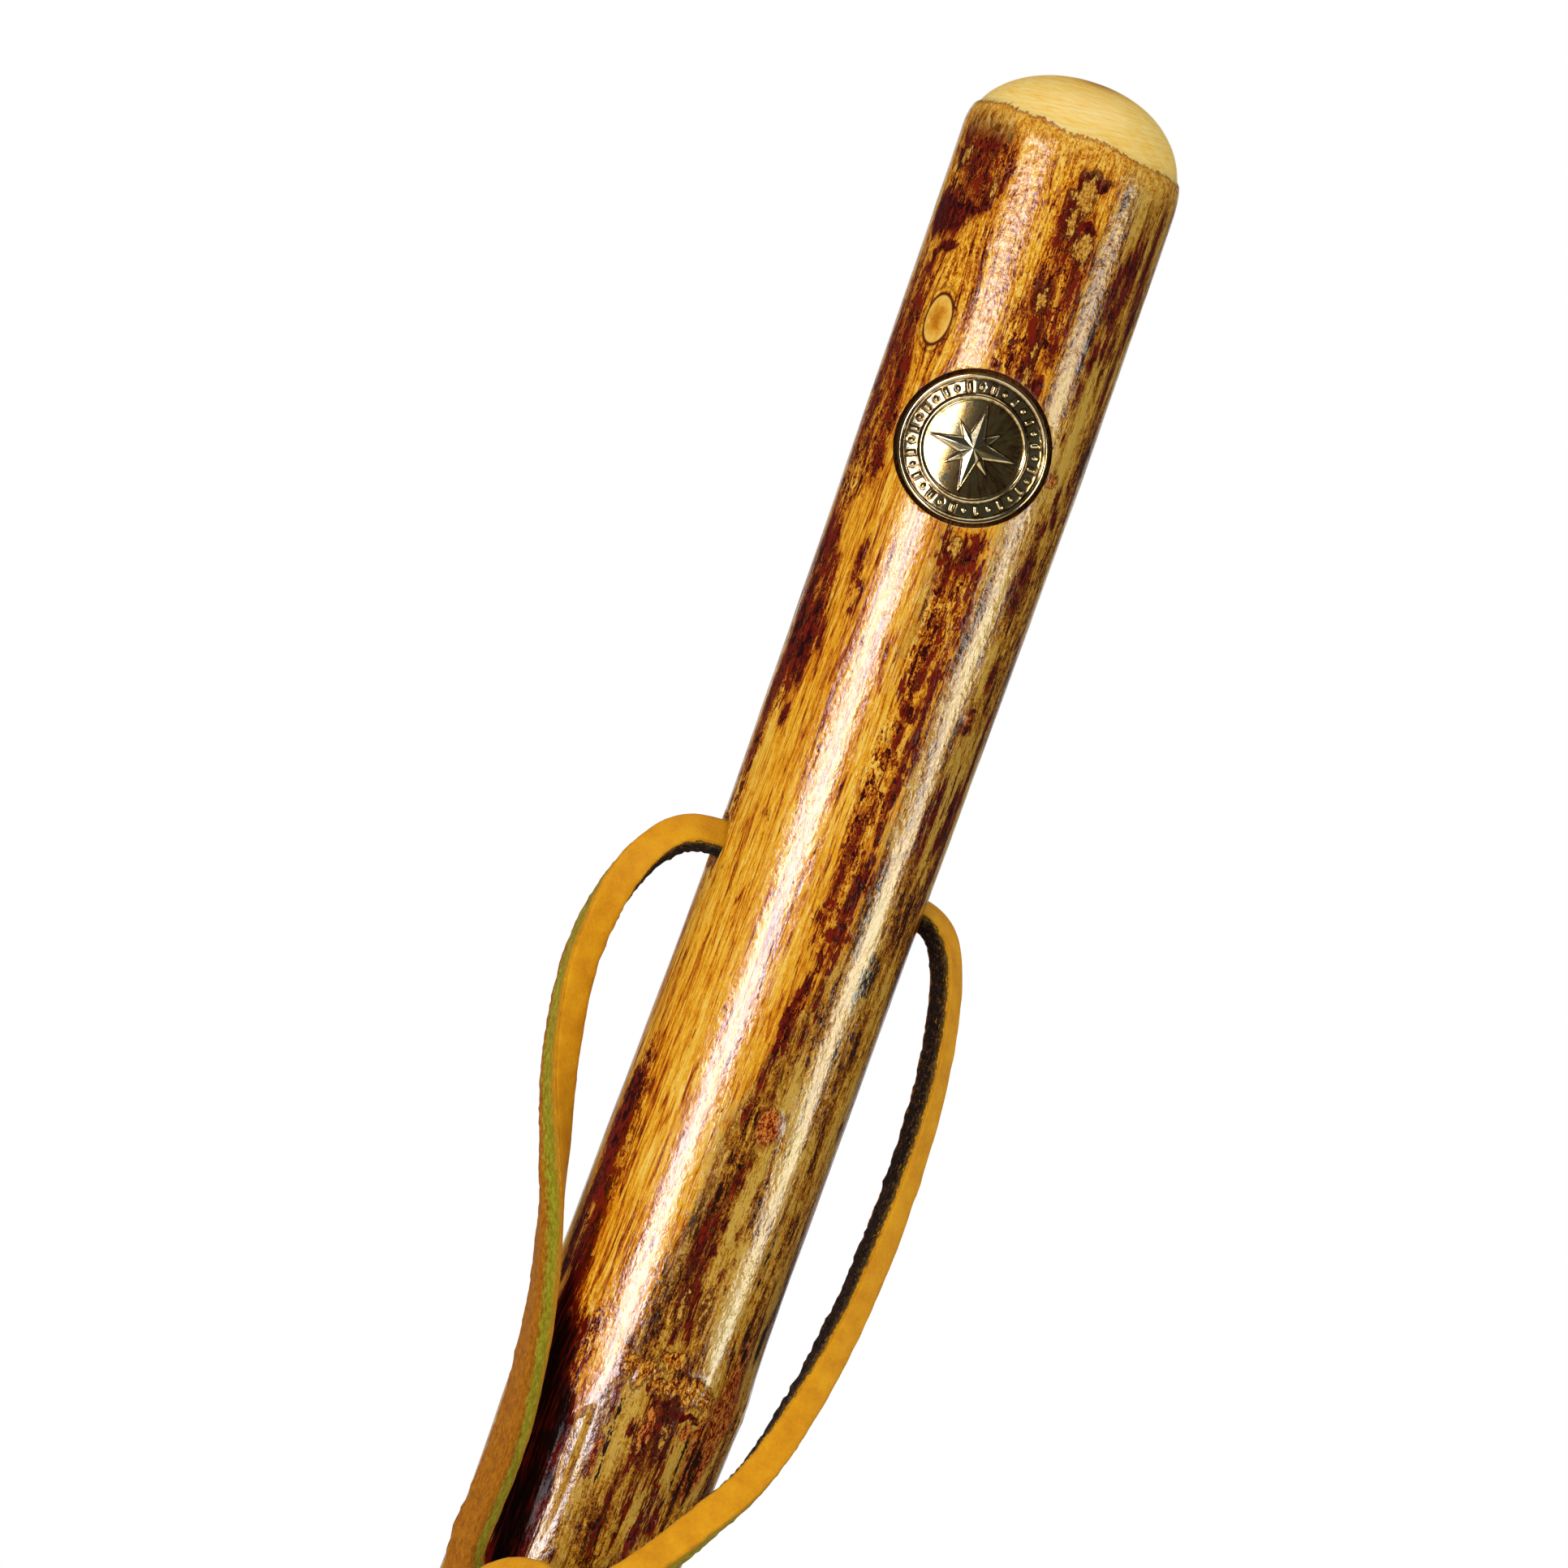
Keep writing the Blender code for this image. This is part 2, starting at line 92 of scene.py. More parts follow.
# The lace's route in millimetres from the hole's centre (right, back, up), and where its smooth side
# faces. The knot follows, then the tail.
LEFT_STRAND = [
    ((0.0, 0.0, 0.0), (0.0, -0.8, 0.6)),
    ((-7.0, -1.2, 0.2), (0.0, -0.8, 0.6)),
    ((-13.5, -2.4, 0.3), (0.0, -0.82, 0.57)),
    ((-17.4, -3.0, -0.3), (-0.05, -0.82, 0.57)),
    ((-20.6, -3.4, -2.6), (-0.15, -0.9, 0.4)),
    ((-23.6, -3.8, -8.0), (0.0, -1.0, 0.15)),
    ((-25.2, -4.2, -15.0), (0.34, -0.94, 0.0)),
    ((-25.3, -4.9, -23.0), (0.47, -0.88, 0.0)),
    ((-23.3, -6.2, -34.4), (0.68, -0.73, 0.0)),
    ((-20.0, -8.0, -45.4), (0.95, -0.31, 0.0)),
    ((-17.2, -10.0, -54.6), (0.99, 0.10, 0.0)),
    ((-14.8, -12.2, -64.5), (0.95, 0.31, 0.0)),
    ((-13.3, -14.2, -75.0), (0.81, 0.59, 0.0)),
    ((-12.9, -16.4, -84.0), (0.64, 0.77, 0.0)),
    ((-13.3, -18.8, -93.0), (0.64, 0.77, 0.0)),
    ((-13.3, -20.4, -98.5), (0.64, 0.77, 0.0)),
]
RIGHT_STRAND = [
    ((0.0, 0.0, 0.0), (0.0, -0.8, 0.6)),
    ((7.0, 1.2, -0.1), (0.0, -0.6, 0.8)),
    ((13.2, 2.3, -0.2), (0.1, -0.45, 0.9)),
    ((16.6, 2.6, -1.3), (0.4, -0.45, 0.8)),
    ((19.2, 2.4, -4.6), (0.75, -0.45, 0.45)),
    ((21.3, 1.8, -11.0), (0.88, -0.47, 0.1)),
    ((22.9, 0.6, -20.0), (0.86, -0.51, 0.0)),
    ((23.6, -1.2, -30.0), (0.80, -0.60, 0.0)),
    ((23.6, -3.6, -41.0), (0.71, -0.71, 0.0)),
    ((22.9, -6.4, -52.0), (0.62, -0.78, 0.0)),
    ((21.3, -9.6, -63.0), (0.42, -0.90, 0.1)),
    ((18.4, -13.4, -74.6), (0.05, -0.97, 0.2)),
    ((14.0, -17.2, -82.5), (-0.15, -0.93, 0.3)),
    ((9.2, -20.0, -89.8), (-0.3, -0.86, 0.4)),
    ((4.4, -22.0, -95.4), (-0.3, -0.86, 0.4)),
]
KNOT_CENTRE = (-4.4, -23.6, -106.0)
LEFT_TAIL = [(-7.8, -22.8, -120.5), (-10.0, -20.8, -129.0), (-11.6, -19.0, -140.5), (-12.4, -18.4, -151.0)]
RIGHT_TAIL = [(-1.6, -22.8, -120.5), (0.2, -21.0, -128.0), (1.4, -19.3, -137.5), (1.3, -18.6, -146.0)]
LACE_WIDTH = 4.4
LACE_THICKNESS = 3.2
TIGHT_HALVES = (2.15, 1.95)
LACE_STEP = 0.6
LACE_SIDES = 44

# The two strands' common line through the knot: distance from the knot's axis, turn in degrees and
# height, the way from it to the front strand, and how loose that strand is there. They settle to a
# given distance apart.
KNOT_LINE = [
    ((3.0, 180.0, 5.0), (0.0, -1.0, 0.0), 1.0),
    ((2.4, 180.0, 2.0), (0.0, -1.0, 0.0), 1.0),
    ((2.4, 180.0, -3.0), (0.0, -1.0, 0.0), 1.0),
    ((3.8, 190.0, -7.5), (0.0, -0.8, 0.6), 1.0),
    ((6.0, 215.0, -8.6), (0.0, -0.3, 0.95), 1.0),
    ((7.4, 250.0, -6.8), (0.0, 0.0, 1.0), 1.0),
    ((7.5, 290.0, -5.6), (0.0, 0.0, 1.0), 1.0),
    ((7.5, 330.0, -4.6), (0.0, 0.0, 1.0), 1.0),
    ((7.5, 370.0, -3.8), (0.0, 0.0, 1.0), 1.0),
    ((7.5, 410.0, -3.0), (0.0, 0.0, 1.0), 1.0),
    ((7.5, 450.0, -2.2), (0.0, 0.0, 1.0), 1.0),
    ((7.5, 490.0, -1.4), (0.0, 0.0, 1.0), 1.0),
    ((7.5, 530.0, -0.2), (0.0, 0.0, 1.0), 1.0),
    ((7.5, 565.0, 2.2), (0.0, 0.0, 1.0), 1.3),
    ((7.3, 590.0, 4.8), (0.0, -0.2, 1.0), 3.0),
    ((6.8, 612.0, 6.8), (0.0, -0.3, 1.0), 4.4),
    ((5.8, 638.0, 7.6), (0.25, -0.3, 0.95), 4.4),
    ((4.4, 665.0, 6.6), (0.7, -0.4, 0.7), 3.0),
    ((2.8, 700.0, 3.6), (1.0, -0.4, 0.2), 1.2),
    ((2.4, 715.0, -1.0), (0.7, -0.7, 0.0), 1.0),
    ((2.4, 720.0, -6.0), (0.6, -0.8, 0.0), 1.0),
    ((1.2, 720.0, -10.5), (0.9, -0.4, 0.0), 1.0),
]
KNOT_APART = 4.2
KNOT_ROUNDS = 60
KNOT_PULL = 0.25
KNOT_TWIST = (0.0, 90.0)
KNOT_PASSES = 3
KNOT_STEP = 1.5


# Smooth noise in mesh code


def gradient_noise(points, seed):
    """Smooth noise, from about -1 to 1, at points with three coordinates."""
    draw = np.random.default_rng(seed)
    order = np.tile(draw.permutation(256), 3)
    slopes = draw.normal(size=(256, 3))
    slopes /= np.linalg.norm(slopes, axis=1, keepdims=True)
    base = np.floor(points).astype(int)
    inside = points - base
    fade = inside**3 * (inside * (inside * 6.0 - 15.0) + 10.0)
    total = np.zeros(len(points))
    for corner in itertools.product((0, 1), repeat=3):
        cell = (base + corner) & 255
        pick = order[order[order[cell[:, 0]] + cell[:, 1]] + cell[:, 2]]
        weight = np.prod(np.where(corner, fade, 1.0 - fade), axis=1)
        total += weight * ((inside - corner) * slopes[pick]).sum(axis=1)
    return 1.6 * total


def smooth(value, low, high):
    """0 below low, 1 above high, and smooth between them."""
    share = np.clip((value - low) / (high - low), 0.0, 1.0)
    return share * share * (3.0 - 2.0 * share)


def round_noise(turn, depth, across_size, along_size, seed):
    """Noise on the shaft's surface, with blotches of about the given sizes round it and along it."""
    spots = np.stack(
        [
            np.cos(turn) * GRIP_RADIUS / across_size,
            np.sin(turn) * GRIP_RADIUS / across_size,
            depth / along_size,
        ],
        axis=1,
    )
    return gradient_noise(spots, seed)


# The shaft's plain form, as in the CAD source


def centre_line(depth):
    """Sideways and backward place of the shaft's middle, at a depth below the top."""
    height = STAFF_LENGTH - depth
    side = SIDE_BEND * np.sin(np.pi * height / SIDE_BEND_LENGTH) ** 2
    back = BACK_BEND * np.sin(np.pi * height / BACK_BEND_LENGTH) ** 2
    return side, back


def plain_radius(depth):
    """The shaft's radius below its dome."""
    share = depth / (STAFF_LENGTH - FERRULE_HEIGHT)
    radius = GRIP_RADIUS + (TIP_RADIUS - GRIP_RADIUS) * share
    radius = radius - WAIST_DEPTH * np.exp(-0.5 * ((depth - WAIST_FROM_TOP) / WAIST_SPREAD) ** 2)
    for place in NODES_FROM_TOP:
        radius = radius + NODE_SWELLING * np.exp(-0.5 * ((depth - place) / NODE_SPREAD) ** 2)
    return radius


def on_bark(across, below):
    """The turn from the front and the depth below the top of the spot that the camera sees there.

    across is measured to the right of the shaft's middle line and below from its top, on the plane
    through it.
    """
    depth = below
    side = across
    eye_side, eye_depth = CAMERA_SPOT[0] / MM, STAFF_LENGTH - CAMERA_SPOT[2] / MM
    for _ in range(4):
        middle, back = centre_line(depth)
        radius = plain_radius(depth)
        distance = back - CAMERA_SPOT[1] / MM
        reach = math.sqrt(max(radius**2 - side**2, 0.0))
        nearer = (distance - reach) / distance
        depth = eye_depth + (below - eye_depth) * nearer
        side = (across + middle - eye_side) * nearer - (middle - eye_side)
        side = max(-0.999 * radius, min(0.999 * radius, side))
    return math.asin(side / radius), depth


# Marks on the bark, read off the photograph. Each is across, below, half width and half length, in
# millimetres as the camera sees them.

MAROON_MARKS = [
    (-13.0, 9.0, 1.2, 1.4), (-10.8, 9.1, 1.9, 1.5), (-8.6, 9.6, 0.6, 1.6), (-12.3, 13.0, 0.45, 3.2),
    (-10.8, 13.0, 0.5, 3.6), (-9.8, 13.0, 0.35, 3.0), (-13.6, 11.0, 0.6, 2.2), (-11.9, 16.3, 0.5, 2.2),
    (-10.0, 16.5, 0.4, 2.2), (-7.4, 16.0, 0.5, 2.3), (-8.9, 19.6, 0.9, 1.5), (-13.8, 22.5, 0.9, 3.4),
    (-12.6, 22.5, 0.7, 3.2), (-11.2, 22.3, 0.6, 3.0), (-10.3, 21.0, 0.5, 1.5), (-12.0, 20.7, 2.8, 0.7),
    (-11.7, 26.4, 1.0, 0.8), (-12.8, 28.0, 0.35, 1.8), (4.2, 11.7, 2.4, 0.7), (2.2, 13.2, 0.5, 1.8),
    (1.7, 17.3, 0.55, 2.3), (4.6, 17.4, 1.2, 0.5), (5.3, 18.2, 0.9, 0.9), (3.0, 19.6, 1.0, 1.1),
    (2.9, 21.6, 0.5, 1.9), (4.9, 23.5, 0.5, 2.3), (5.2, 26.5, 0.5, 1.8), (1.3, 27.6, 0.45, 2.0),
    (2.8, 27.2, 0.4, 1.2), (3.0, 30.3, 0.5, 0.8), (2.8, 32.1, 0.8, 0.9), (6.9, 22.5, 0.3, 1.8),
    (6.8, 28.5, 0.25, 4.2), (10.8, 24.5, 0.5, 4.0), (12.0, 23.0, 0.4, 8.4), (11.4, 20.4, 0.5, 1.8),
    (12.7, 20.0, 0.3, 4.4), (13.8, 20.0, 0.25, 8.6), (11.4, 28.0, 0.5, 2.3), (14.2, 28.0, 0.3, 5.5),
    (2.9, 36.5, 0.6, 4.4), (5.9, 35.0, 0.65, 1.5), (5.2, 40.2, 1.0, 1.7), (3.7, 41.3, 0.4, 1.1),
    (11.0, 33.8, 0.5, 2.3), (12.0, 32.5, 0.4, 1.8), (10.7, 39.0, 0.45, 2.3), (10.8, 45.2, 0.3, 0.7),
    (13.9, 36.0, 0.25, 5.4), (12.9, 31.5, 0.3, 1.8), (12.6, 52.0, 0.4, 2.0), (13.1, 55.0, 0.45, 2.4),
    (12.2, 57.5, 0.3, 1.6), (13.5, 51.0, 0.25, 1.8), (-13.2, 37.0, 0.35, 7.4), (-12.3, 44.0, 0.35, 4.4),
    (-11.7, 47.0, 0.5, 4.4), (-11.4, 50.2, 0.6, 1.1), (-11.2, 56.0, 0.8, 2.5), (-14.2, 42.0, 0.2, 8.0),
    (4.4, 63.3, 1.1, 2.5), (5.3, 61.5, 0.5, 1.1), (1.4, 64.0, 0.5, 2.0), (2.4, 66.5, 0.65, 1.9),
    (0.6, 63.0, 0.3, 1.7), (12.0, 63.0, 0.6, 2.0), (11.0, 65.5, 0.4, 2.3), (11.9, 67.5, 0.35, 1.4),
    (-14.0, 68.0, 0.45, 4.4), (-13.2, 68.5, 0.5, 4.0), (-12.3, 71.0, 0.35, 2.4), (-13.6, 79.5, 0.7, 9.0),
    (-12.1, 80.5, 1.0, 6.6), (-11.4, 84.5, 0.6, 3.0), (-13.9, 90.0, 0.3, 5.4), (-10.3, 80.0, 0.3, 1.8),
    (-11.4, 90.5, 0.35, 2.1), (-8.7, 68.5, 0.4, 2.5), (-7.7, 72.6, 0.4, 0.7), (-7.5, 74.5, 0.35, 1.2),
    (-7.9, 75.8, 0.25, 0.6), (6.4, 69.5, 0.35, 4.4), (6.3, 75.0, 0.45, 1.4), (6.7, 78.0, 0.35, 1.2),
    (5.9, 83.0, 0.4, 5.4), (5.7, 88.5, 0.5, 4.4), (6.4, 90.0, 0.3, 1.9), (5.4, 95.5, 0.5, 4.4),
    (6.9, 85.0, 0.2, 3.2), (3.6, 80.5, 0.6, 1.1), (3.7, 84.8, 1.2, 1.3), (3.6, 88.6, 0.4, 0.9),
    (4.1, 78.0, 0.3, 1.1), (10.5, 70.0, 0.3, 2.3), (10.4, 75.8, 0.3, 0.8), (12.3, 77.3, 0.35, 1.4),
    (14.0, 72.0, 0.3, 0.9), (11.6, 82.2, 0.7, 0.6), (11.6, 85.0, 0.8, 0.9), (10.8, 84.0, 0.3, 0.8),
    (14.0, 85.0, 0.25, 6.4), (13.9, 91.0, 0.3, 5.4), (11.3, 95.0, 0.45, 5.0), (10.6, 96.0, 0.3, 4.4),
    (13.2, 96.0, 0.4, 5.0), (12.4, 93.0, 0.2, 3.4), (3.0, 101.8, 0.4, 2.1), (2.7, 105.0, 0.3, 2.4),
    (2.4, 109.5, 0.55, 3.0), (2.1, 113.5, 0.35, 3.4), (5.3, 98.5, 0.45, 3.4), (5.6, 101.5, 0.4, 1.8),
    (6.0, 105.0, 0.6, 1.5), (5.3, 108.5, 0.9, 3.6), (6.4, 107.3, 0.35, 1.8), (4.6, 112.0, 0.6, 2.3),
    (4.9, 115.8, 1.2, 2.2), (6.1, 116.2, 0.5, 1.1), (3.9, 119.5, 0.6, 2.7), (3.6, 122.6, 0.6, 1.5),
    (5.5, 121.5, 0.4, 3.5), (5.6, 125.0, 0.4, 1.9), (6.3, 126.6, 0.4, 1.1), (3.1, 126.0, 0.6, 4.0),
    (7.4, 103.0, 0.25, 2.5), (10.5, 98.5, 0.4, 3.9), (11.4, 99.0, 0.35, 4.4), (12.9, 99.5, 0.35, 2.9),
    (13.9, 102.0, 0.25, 6.4), (14.3, 117.0, 0.35, 8.4), (-9.4, 104.0, 0.2, 0.35), (2.9, 129.0, 0.9, 4.0),
    (2.5, 133.5, 0.45, 3.4), (2.2, 137.0, 0.35, 1.9), (5.3, 129.5, 0.5, 2.3), (4.1, 136.0, 0.3, 3.9),
    (3.6, 130.8, 0.5, 1.2), (1.6, 141.8, 0.35, 1.6), (7.4, 136.0, 0.2, 1.1), (4.8, 147.0, 0.4, 1.2),
    (3.8, 149.7, 0.45, 2.0), (4.6, 150.5, 0.25, 0.9), (1.6, 158.0, 0.5, 4.4), (3.1, 158.5, 0.5, 3.8),
    (4.1, 156.0, 0.6, 1.4), (6.4, 157.5, 0.3, 0.8), (3.9, 160.0, 0.35, 2.3), (-13.2, 144.0, 0.8, 3.4),
    (-13.2, 148.0, 1.0, 4.6), (-12.8, 153.5, 0.8, 4.6), (-11.9, 159.0, 0.7, 5.2), (-13.4, 157.0, 0.3, 2.9),
    (-11.2, 142.7, 0.35, 1.0), (14.0, 139.8, 0.3, 1.4), (14.4, 146.0, 0.2, 2.8), (-12.0, 164.0, 0.6, 5.6),
    (-11.3, 166.5, 0.8, 5.6), (-13.6, 163.0, 0.3, 3.9), (-13.4, 168.0, 0.4, 2.4),
    (2.4, 161.5, 0.6, 5.0), (3.5, 162.5, 0.45, 5.6),
    (4.0, 167.5, 0.5, 4.0), (2.6, 168.3, 0.45, 1.4), (4.6, 170.5, 0.4, 2.7), (3.1, 171.8, 0.35, 1.8),
    (6.0, 162.5, 0.3, 0.8), (3.5, 178.0, 0.9, 0.7), (2.5, 179.3, 0.5, 0.4), (6.7, 176.0, 0.3, 0.9),
    (3.6, 182.5, 0.5, 3.4), (3.9, 186.5, 0.9, 2.6), (3.4, 190.0, 0.4, 2.4), (5.4, 183.5, 0.45, 4.4),
    (6.2, 187.0, 0.4, 3.4), (7.3, 186.0, 0.45, 5.6), (5.3, 191.0, 0.35, 3.4), (2.3, 185.5, 0.6, 1.0),
    (-1.0, 183.5, 0.35, 3.6), (-2.0, 187.5, 0.35, 1.8), (5.0, 197.0, 0.45, 5.6), (2.7, 195.5, 0.35, 3.4),
    (2.6, 200.5, 0.35, 2.4), (7.7, 193.0, 0.45, 4.6), (7.3, 198.0, 0.7, 4.6), (8.8, 196.0, 0.5, 3.4),
    (-1.7, 204.3, 0.9, 1.2), (-1.5, 192.0, 0.35, 1.4), (4.5, 204.8, 0.9, 0.8), (5.0, 180.6, 2.4, 0.3),
    (8.6, 181.6, 2.2, 0.3), (11.0, 182.4, 1.0, 0.3), (-11.4, 175.0, 0.8, 5.0), (-12.6, 185.0, 0.7, 12.0),
]

CRACK_MARKS = [
    (10.1, 120.5, 0.25, 2.8), (9.6, 121.2, 0.2, 2.2), (10.7, 120.0, 0.25, 2.7), (9.95, 130.0, 0.13, 7.6),
    (11.2, 119.5, 0.2, 2.2), (10.2, 117.5, 0.2, 1.2), (8.7, 142.0, 0.12, 3.0), (10.9, 157.0, 0.12, 4.0),
    (10.8, 188.0, 0.2, 5.0), (11.5, 187.0, 0.2, 4.0), (9.6, 187.0, 0.15, 4.0), (12.0, 190.0, 0.2, 4.0),
    (11.9, 169.0, 0.25, 1.4), (12.6, 171.5, 0.3, 1.2), (14.0, 169.0, 0.3, 3.0), (-1.4, 167.5, 0.12, 1.6),
    (-1.5, 170.0, 0.12, 1.4), (0.2, 191.0, 0.12, 3.4), (-0.2, 185.0, 0.12, 2.4), (-0.2, 180.1, 1.1, 0.15),
]

# The nearly black, dull patch at the lower left, a dark stain with the left strand's shadow painted into it,
# and spots where the varnish shines less
DARK_STAIN_AND_SHADOW_MARKS = [
    (-11.9, 176.0, 1.3, 8.0), (-10.4, 181.0, 2.3, 8.5), (-8.7, 188.0, 3.3, 7.5), (-7.8, 200.0, 3.0, 12.0),
]
DULL_MARKS = [(9.6, 182.0, 2.0, 3.4), (10.6, 200.0, 2.4, 16.0), (12.5, 181.0, 1.6, 9.0)]

# The paler strip of bark on the right, along the right lamp's highlight: partly paler bark, partly painted
# highlight
PALE_BARK_AND_HIGHLIGHT_MARKS = [
    (8.6, 40.0, 1.5, 30.0), (8.7, 85.0, 1.5, 34.0), (8.9, 130.0, 1.6, 34.0), (8.7, 165.0, 1.5, 16.0),
]

# Rusty orange spots
AMBER_MARKS = [
    (11.9, 184.5, 1.5, 7.5), (12.9, 177.0, 1.0, 7.0), (5.4, 142.2, 1.6, 2.6), (11.4, 83.6, 0.7, 0.75),
    (4.0, 184.0, 0.7, 2.4), (11.2, 50.4, 0.6, 0.6), (-1.2, 190.0, 0.6, 2.2), (9.2, 183.6, 1.0, 1.2),
]

# Patches of lichen: olive inside, with a dark line round them
LICHEN_MARKS = [
    (3.4, 14.2, 1.1, 1.9), (2.6, 18.3, 0.6, 1.3), (5.2, 20.8, 1.2, 1.6), (1.6, 15.1, 0.55, 0.65),
    (2.2, 28.6, 0.5, 1.2), (3.55, 38.3, 0.35, 2.6), (-13.2, 14.6, 0.4, 1.2), (-8.4, 17.4, 0.3, 0.8),
    (2.1, 63.0, 0.7, 1.3), (2.9, 168.3, 0.3, 1.4), (5.6, 167.0, 0.35, 1.3), (6.6, 185.0, 0.35, 2.0),
]

# Orange corky lumps, each with how high it stands
CORK_MARKS = [
    (5.4, 142.0, 1.6, 2.2, 0.3), (11.4, 83.6, 0.8, 0.85, 0.12),
    (-1.2, 177.8, 1.1, 1.6, 0.4), (0.6, 178.3, 0.7, 1.5, 0.3), (1.8, 177.4, 0.8, 1.0, 0.4),
    (3.6, 178.6, 0.8, 1.1, 0.25), (5.4, 178.4, 0.9, 1.2, 0.35), (6.8, 178.0, 0.8, 1.5, 0.4),
    (8.2, 177.8, 0.9, 1.4, 0.4), (7.8, 179.8, 1.2, 0.9, 0.3), (9.8, 178.6, 0.8, 1.4, 0.3),
    (10.6, 180.6, 0.8, 1.0, 0.3), (4.2, 175.0, 1.6, 0.9, 0.15), (12.8, 180.0, 0.9, 6.0, 0.1),
    (11.2, 50.4, 0.7, 0.7, 0.1), (-1.4, 189.8, 0.5, 2.0, 0.05), (3.9, 184.6, 0.5, 2.2, 0.1),
]

# Wide soft patches of darker, redder wood
RUST_PATCHES = [
    (-12.0, 14.0, 4.0, 7.0), (3.5, 28.0, 3.5, 14.0), (1.0, 36.0, 3.5, 8.0), (3.6, 74.0, 3.2, 15.0),
    (-13.6, 46.0, 2.2, 20.0), (3.0, 96.0, 2.6, 14.0), (4.0, 114.0, 2.4, 10.0), (-13.9, 98.0, 1.1, 20.0),
    (-12.8, 152.0, 2.0, 16.0), (-7.2, 178.0, 1.6, 9.0), (12.8, 180.0, 1.6, 8.0), (3.4, 129.0, 1.6, 8.0),
    (-10.0, 190.0, 4.0, 20.0), (-13.5, 78.0, 2.4, 14.0), (3.4, 163.0, 1.4, 8.0), (-8.7, 70.0, 1.0, 4.0),
    (-11.4, 52.0, 1.6, 8.0), (12.5, 52.0, 1.6, 5.0), (11.5, 84.0, 1.3, 3.0), (2.6, 186.0, 1.0, 4.0),
]

# Grey weathered streaks
GREY_PATCHES = [
    (0.6, 70.0, 0.9, 8.0), (-0.4, 147.0, 0.9, 5.0), (0.6, 152.0, 0.5, 6.0), (8.6, 112.0, 1.2, 4.0),
    (9.0, 170.0, 1.0, 5.0), (0.2, 160.0, 0.6, 7.0), (9.4, 12.0, 1.4, 3.0),
]

# The bark's edge under the peeled dome, and the border between golden wood (left) and olive bark (right)
PEEL_EDGE = [
    (-14.0, 6.9), (-12.5, 6.5), (-11.0, 6.2), (-9.0, 6.4), (-7.0, 6.5), (-4.0, 6.6), (-1.5, 7.1),
    (0.0, 6.9), (2.0, 6.6), (4.0, 6.7), (5.5, 7.0), (7.0, 7.3), (9.0, 7.7), (11.0, 7.9), (12.5, 8.0),
    (14.0, 8.5),
]
OLIVE_BORDER = [
    (7.0, 9.0), (7.2, 14.0), (6.6, 22.0), (6.6, 36.0), (6.9, 45.0), (7.0, 60.0), (6.7, 75.0), (6.8, 90.0),
    (6.5, 104.0), (6.4, 118.0), (5.0, 122.0), (3.6, 128.0), (1.6, 134.0), (0.4, 140.0), (0.0, 150.0),
    (-1.0, 160.0), (-1.8, 172.0), (-2.2, 180.0), (-4.6, 184.0), (-5.6, 190.0), (-6.2, 206.0),
]

# The branch knot at the upper left, and the two ends of the bark's torn edge at the lower left
BRANCH_KNOT = (-9.8, 35.8, 1.65, 3.4)
TORN_ENDS = [(-5.6, 186.6), (-3.9, 184.6)]

# What the photograph shows of the shaft ends here
PHOTO_DEPTH = 208.0

# How far a field of marks reaches from a border, either way, and where random marks may lie
FIELD_REACH = 4.0
MARKED_DEPTHS = (8.0, 1180.0)

# Fields of marks: name, marks, whether they are pushed about, and sets of random marks elsewhere. A set
# has its count, half widths, half lengths and whether they are pointed.
MARK_FIELDS = [
    (
        "maroon",
        MAROON_MARKS,
        True,
        [(900, (0.3, 0.9), (1.5, 7.0), False), (90, (0.8, 2.6), (5.0, 16.0), True)],
    ),
    ("crack", CRACK_MARKS, False, [(160, (0.12, 0.3), (1.5, 6.0), False)]),
    ("lichen", LICHEN_MARKS, True, [(160, (0.5, 1.6), (0.8, 3.0), False)]),
    ("cork", [mark[:4] for mark in CORK_MARKS], True, []),
    ("rust", RUST_PATCHES, True, [(110, (2.0, 5.0), (8.0, 30.0), False)]),
    ("grey", GREY_PATCHES, True, [(60, (0.8, 2.0), (4.0, 12.0), False)]),
    ("core", DARK_STAIN_AND_SHADOW_MARKS, True, []),
    ("dull", DULL_MARKS, True, []),
    ("pale", PALE_BARK_AND_HIGHLIGHT_MARKS, True, []),
    ("amber", AMBER_MARKS, True, [(60, (0.4, 1.4), (0.6, 3.0), False)]),
]


def marked(turn, depth, marks):
    """How far each spot lies inside the nearest mark, in millimetres. It is below 0 outside."""
    field = np.full(len(turn), -FIELD_REACH)
    for across, below, half_width, half_length in marks:
        mark_turn, mark_depth = on_bark(across, below)
        half_arc = half_width / max(math.cos(mark_turn), 0.4)
        add_mark(field, turn, depth, mark_turn, mark_depth, half_arc, half_length)
    return field


def add_mark(field, turn, depth, mark_turn, mark_depth, half_arc, half_length, pointed=False):
    """Adds one oval or pointed mark to a field."""
    near = np.flatnonzero(np.abs(depth - mark_depth) < 1.6 * half_length + 4.0)
    away = (turn[near] - mark_turn + np.pi) % (2.0 * np.pi) - np.pi
    side = away * GRIP_RADIUS / half_arc
    along = (depth[near] - mark_depth) / half_length
    if pointed:
        reach = np.abs(side) + along**2
    else:
        reach = np.sqrt(side**2 + along**2)
    inside = np.maximum((1.0 - reach) * half_arc, -FIELD_REACH)
    field[near] = np.maximum(field[near], inside)


def random_marks(field, turn, depth, draw, count, widths, lengths, pointed):
    """Adds random marks in the part of the shaft that the photograph doesn't show."""
    for _ in range(count):
        mark_turn = draw.uniform(-np.pi, np.pi)
        mark_depth = draw.uniform(*MARKED_DEPTHS)
        half_arc = draw.uniform(*widths)
        half_length = draw.uniform(*lengths)
        if mark_depth - half_length < PHOTO_DEPTH and abs(mark_turn) < math.radians(88.0):
            continue
        add_mark(field, turn, depth, mark_turn, mark_depth, half_arc, half_length, pointed)


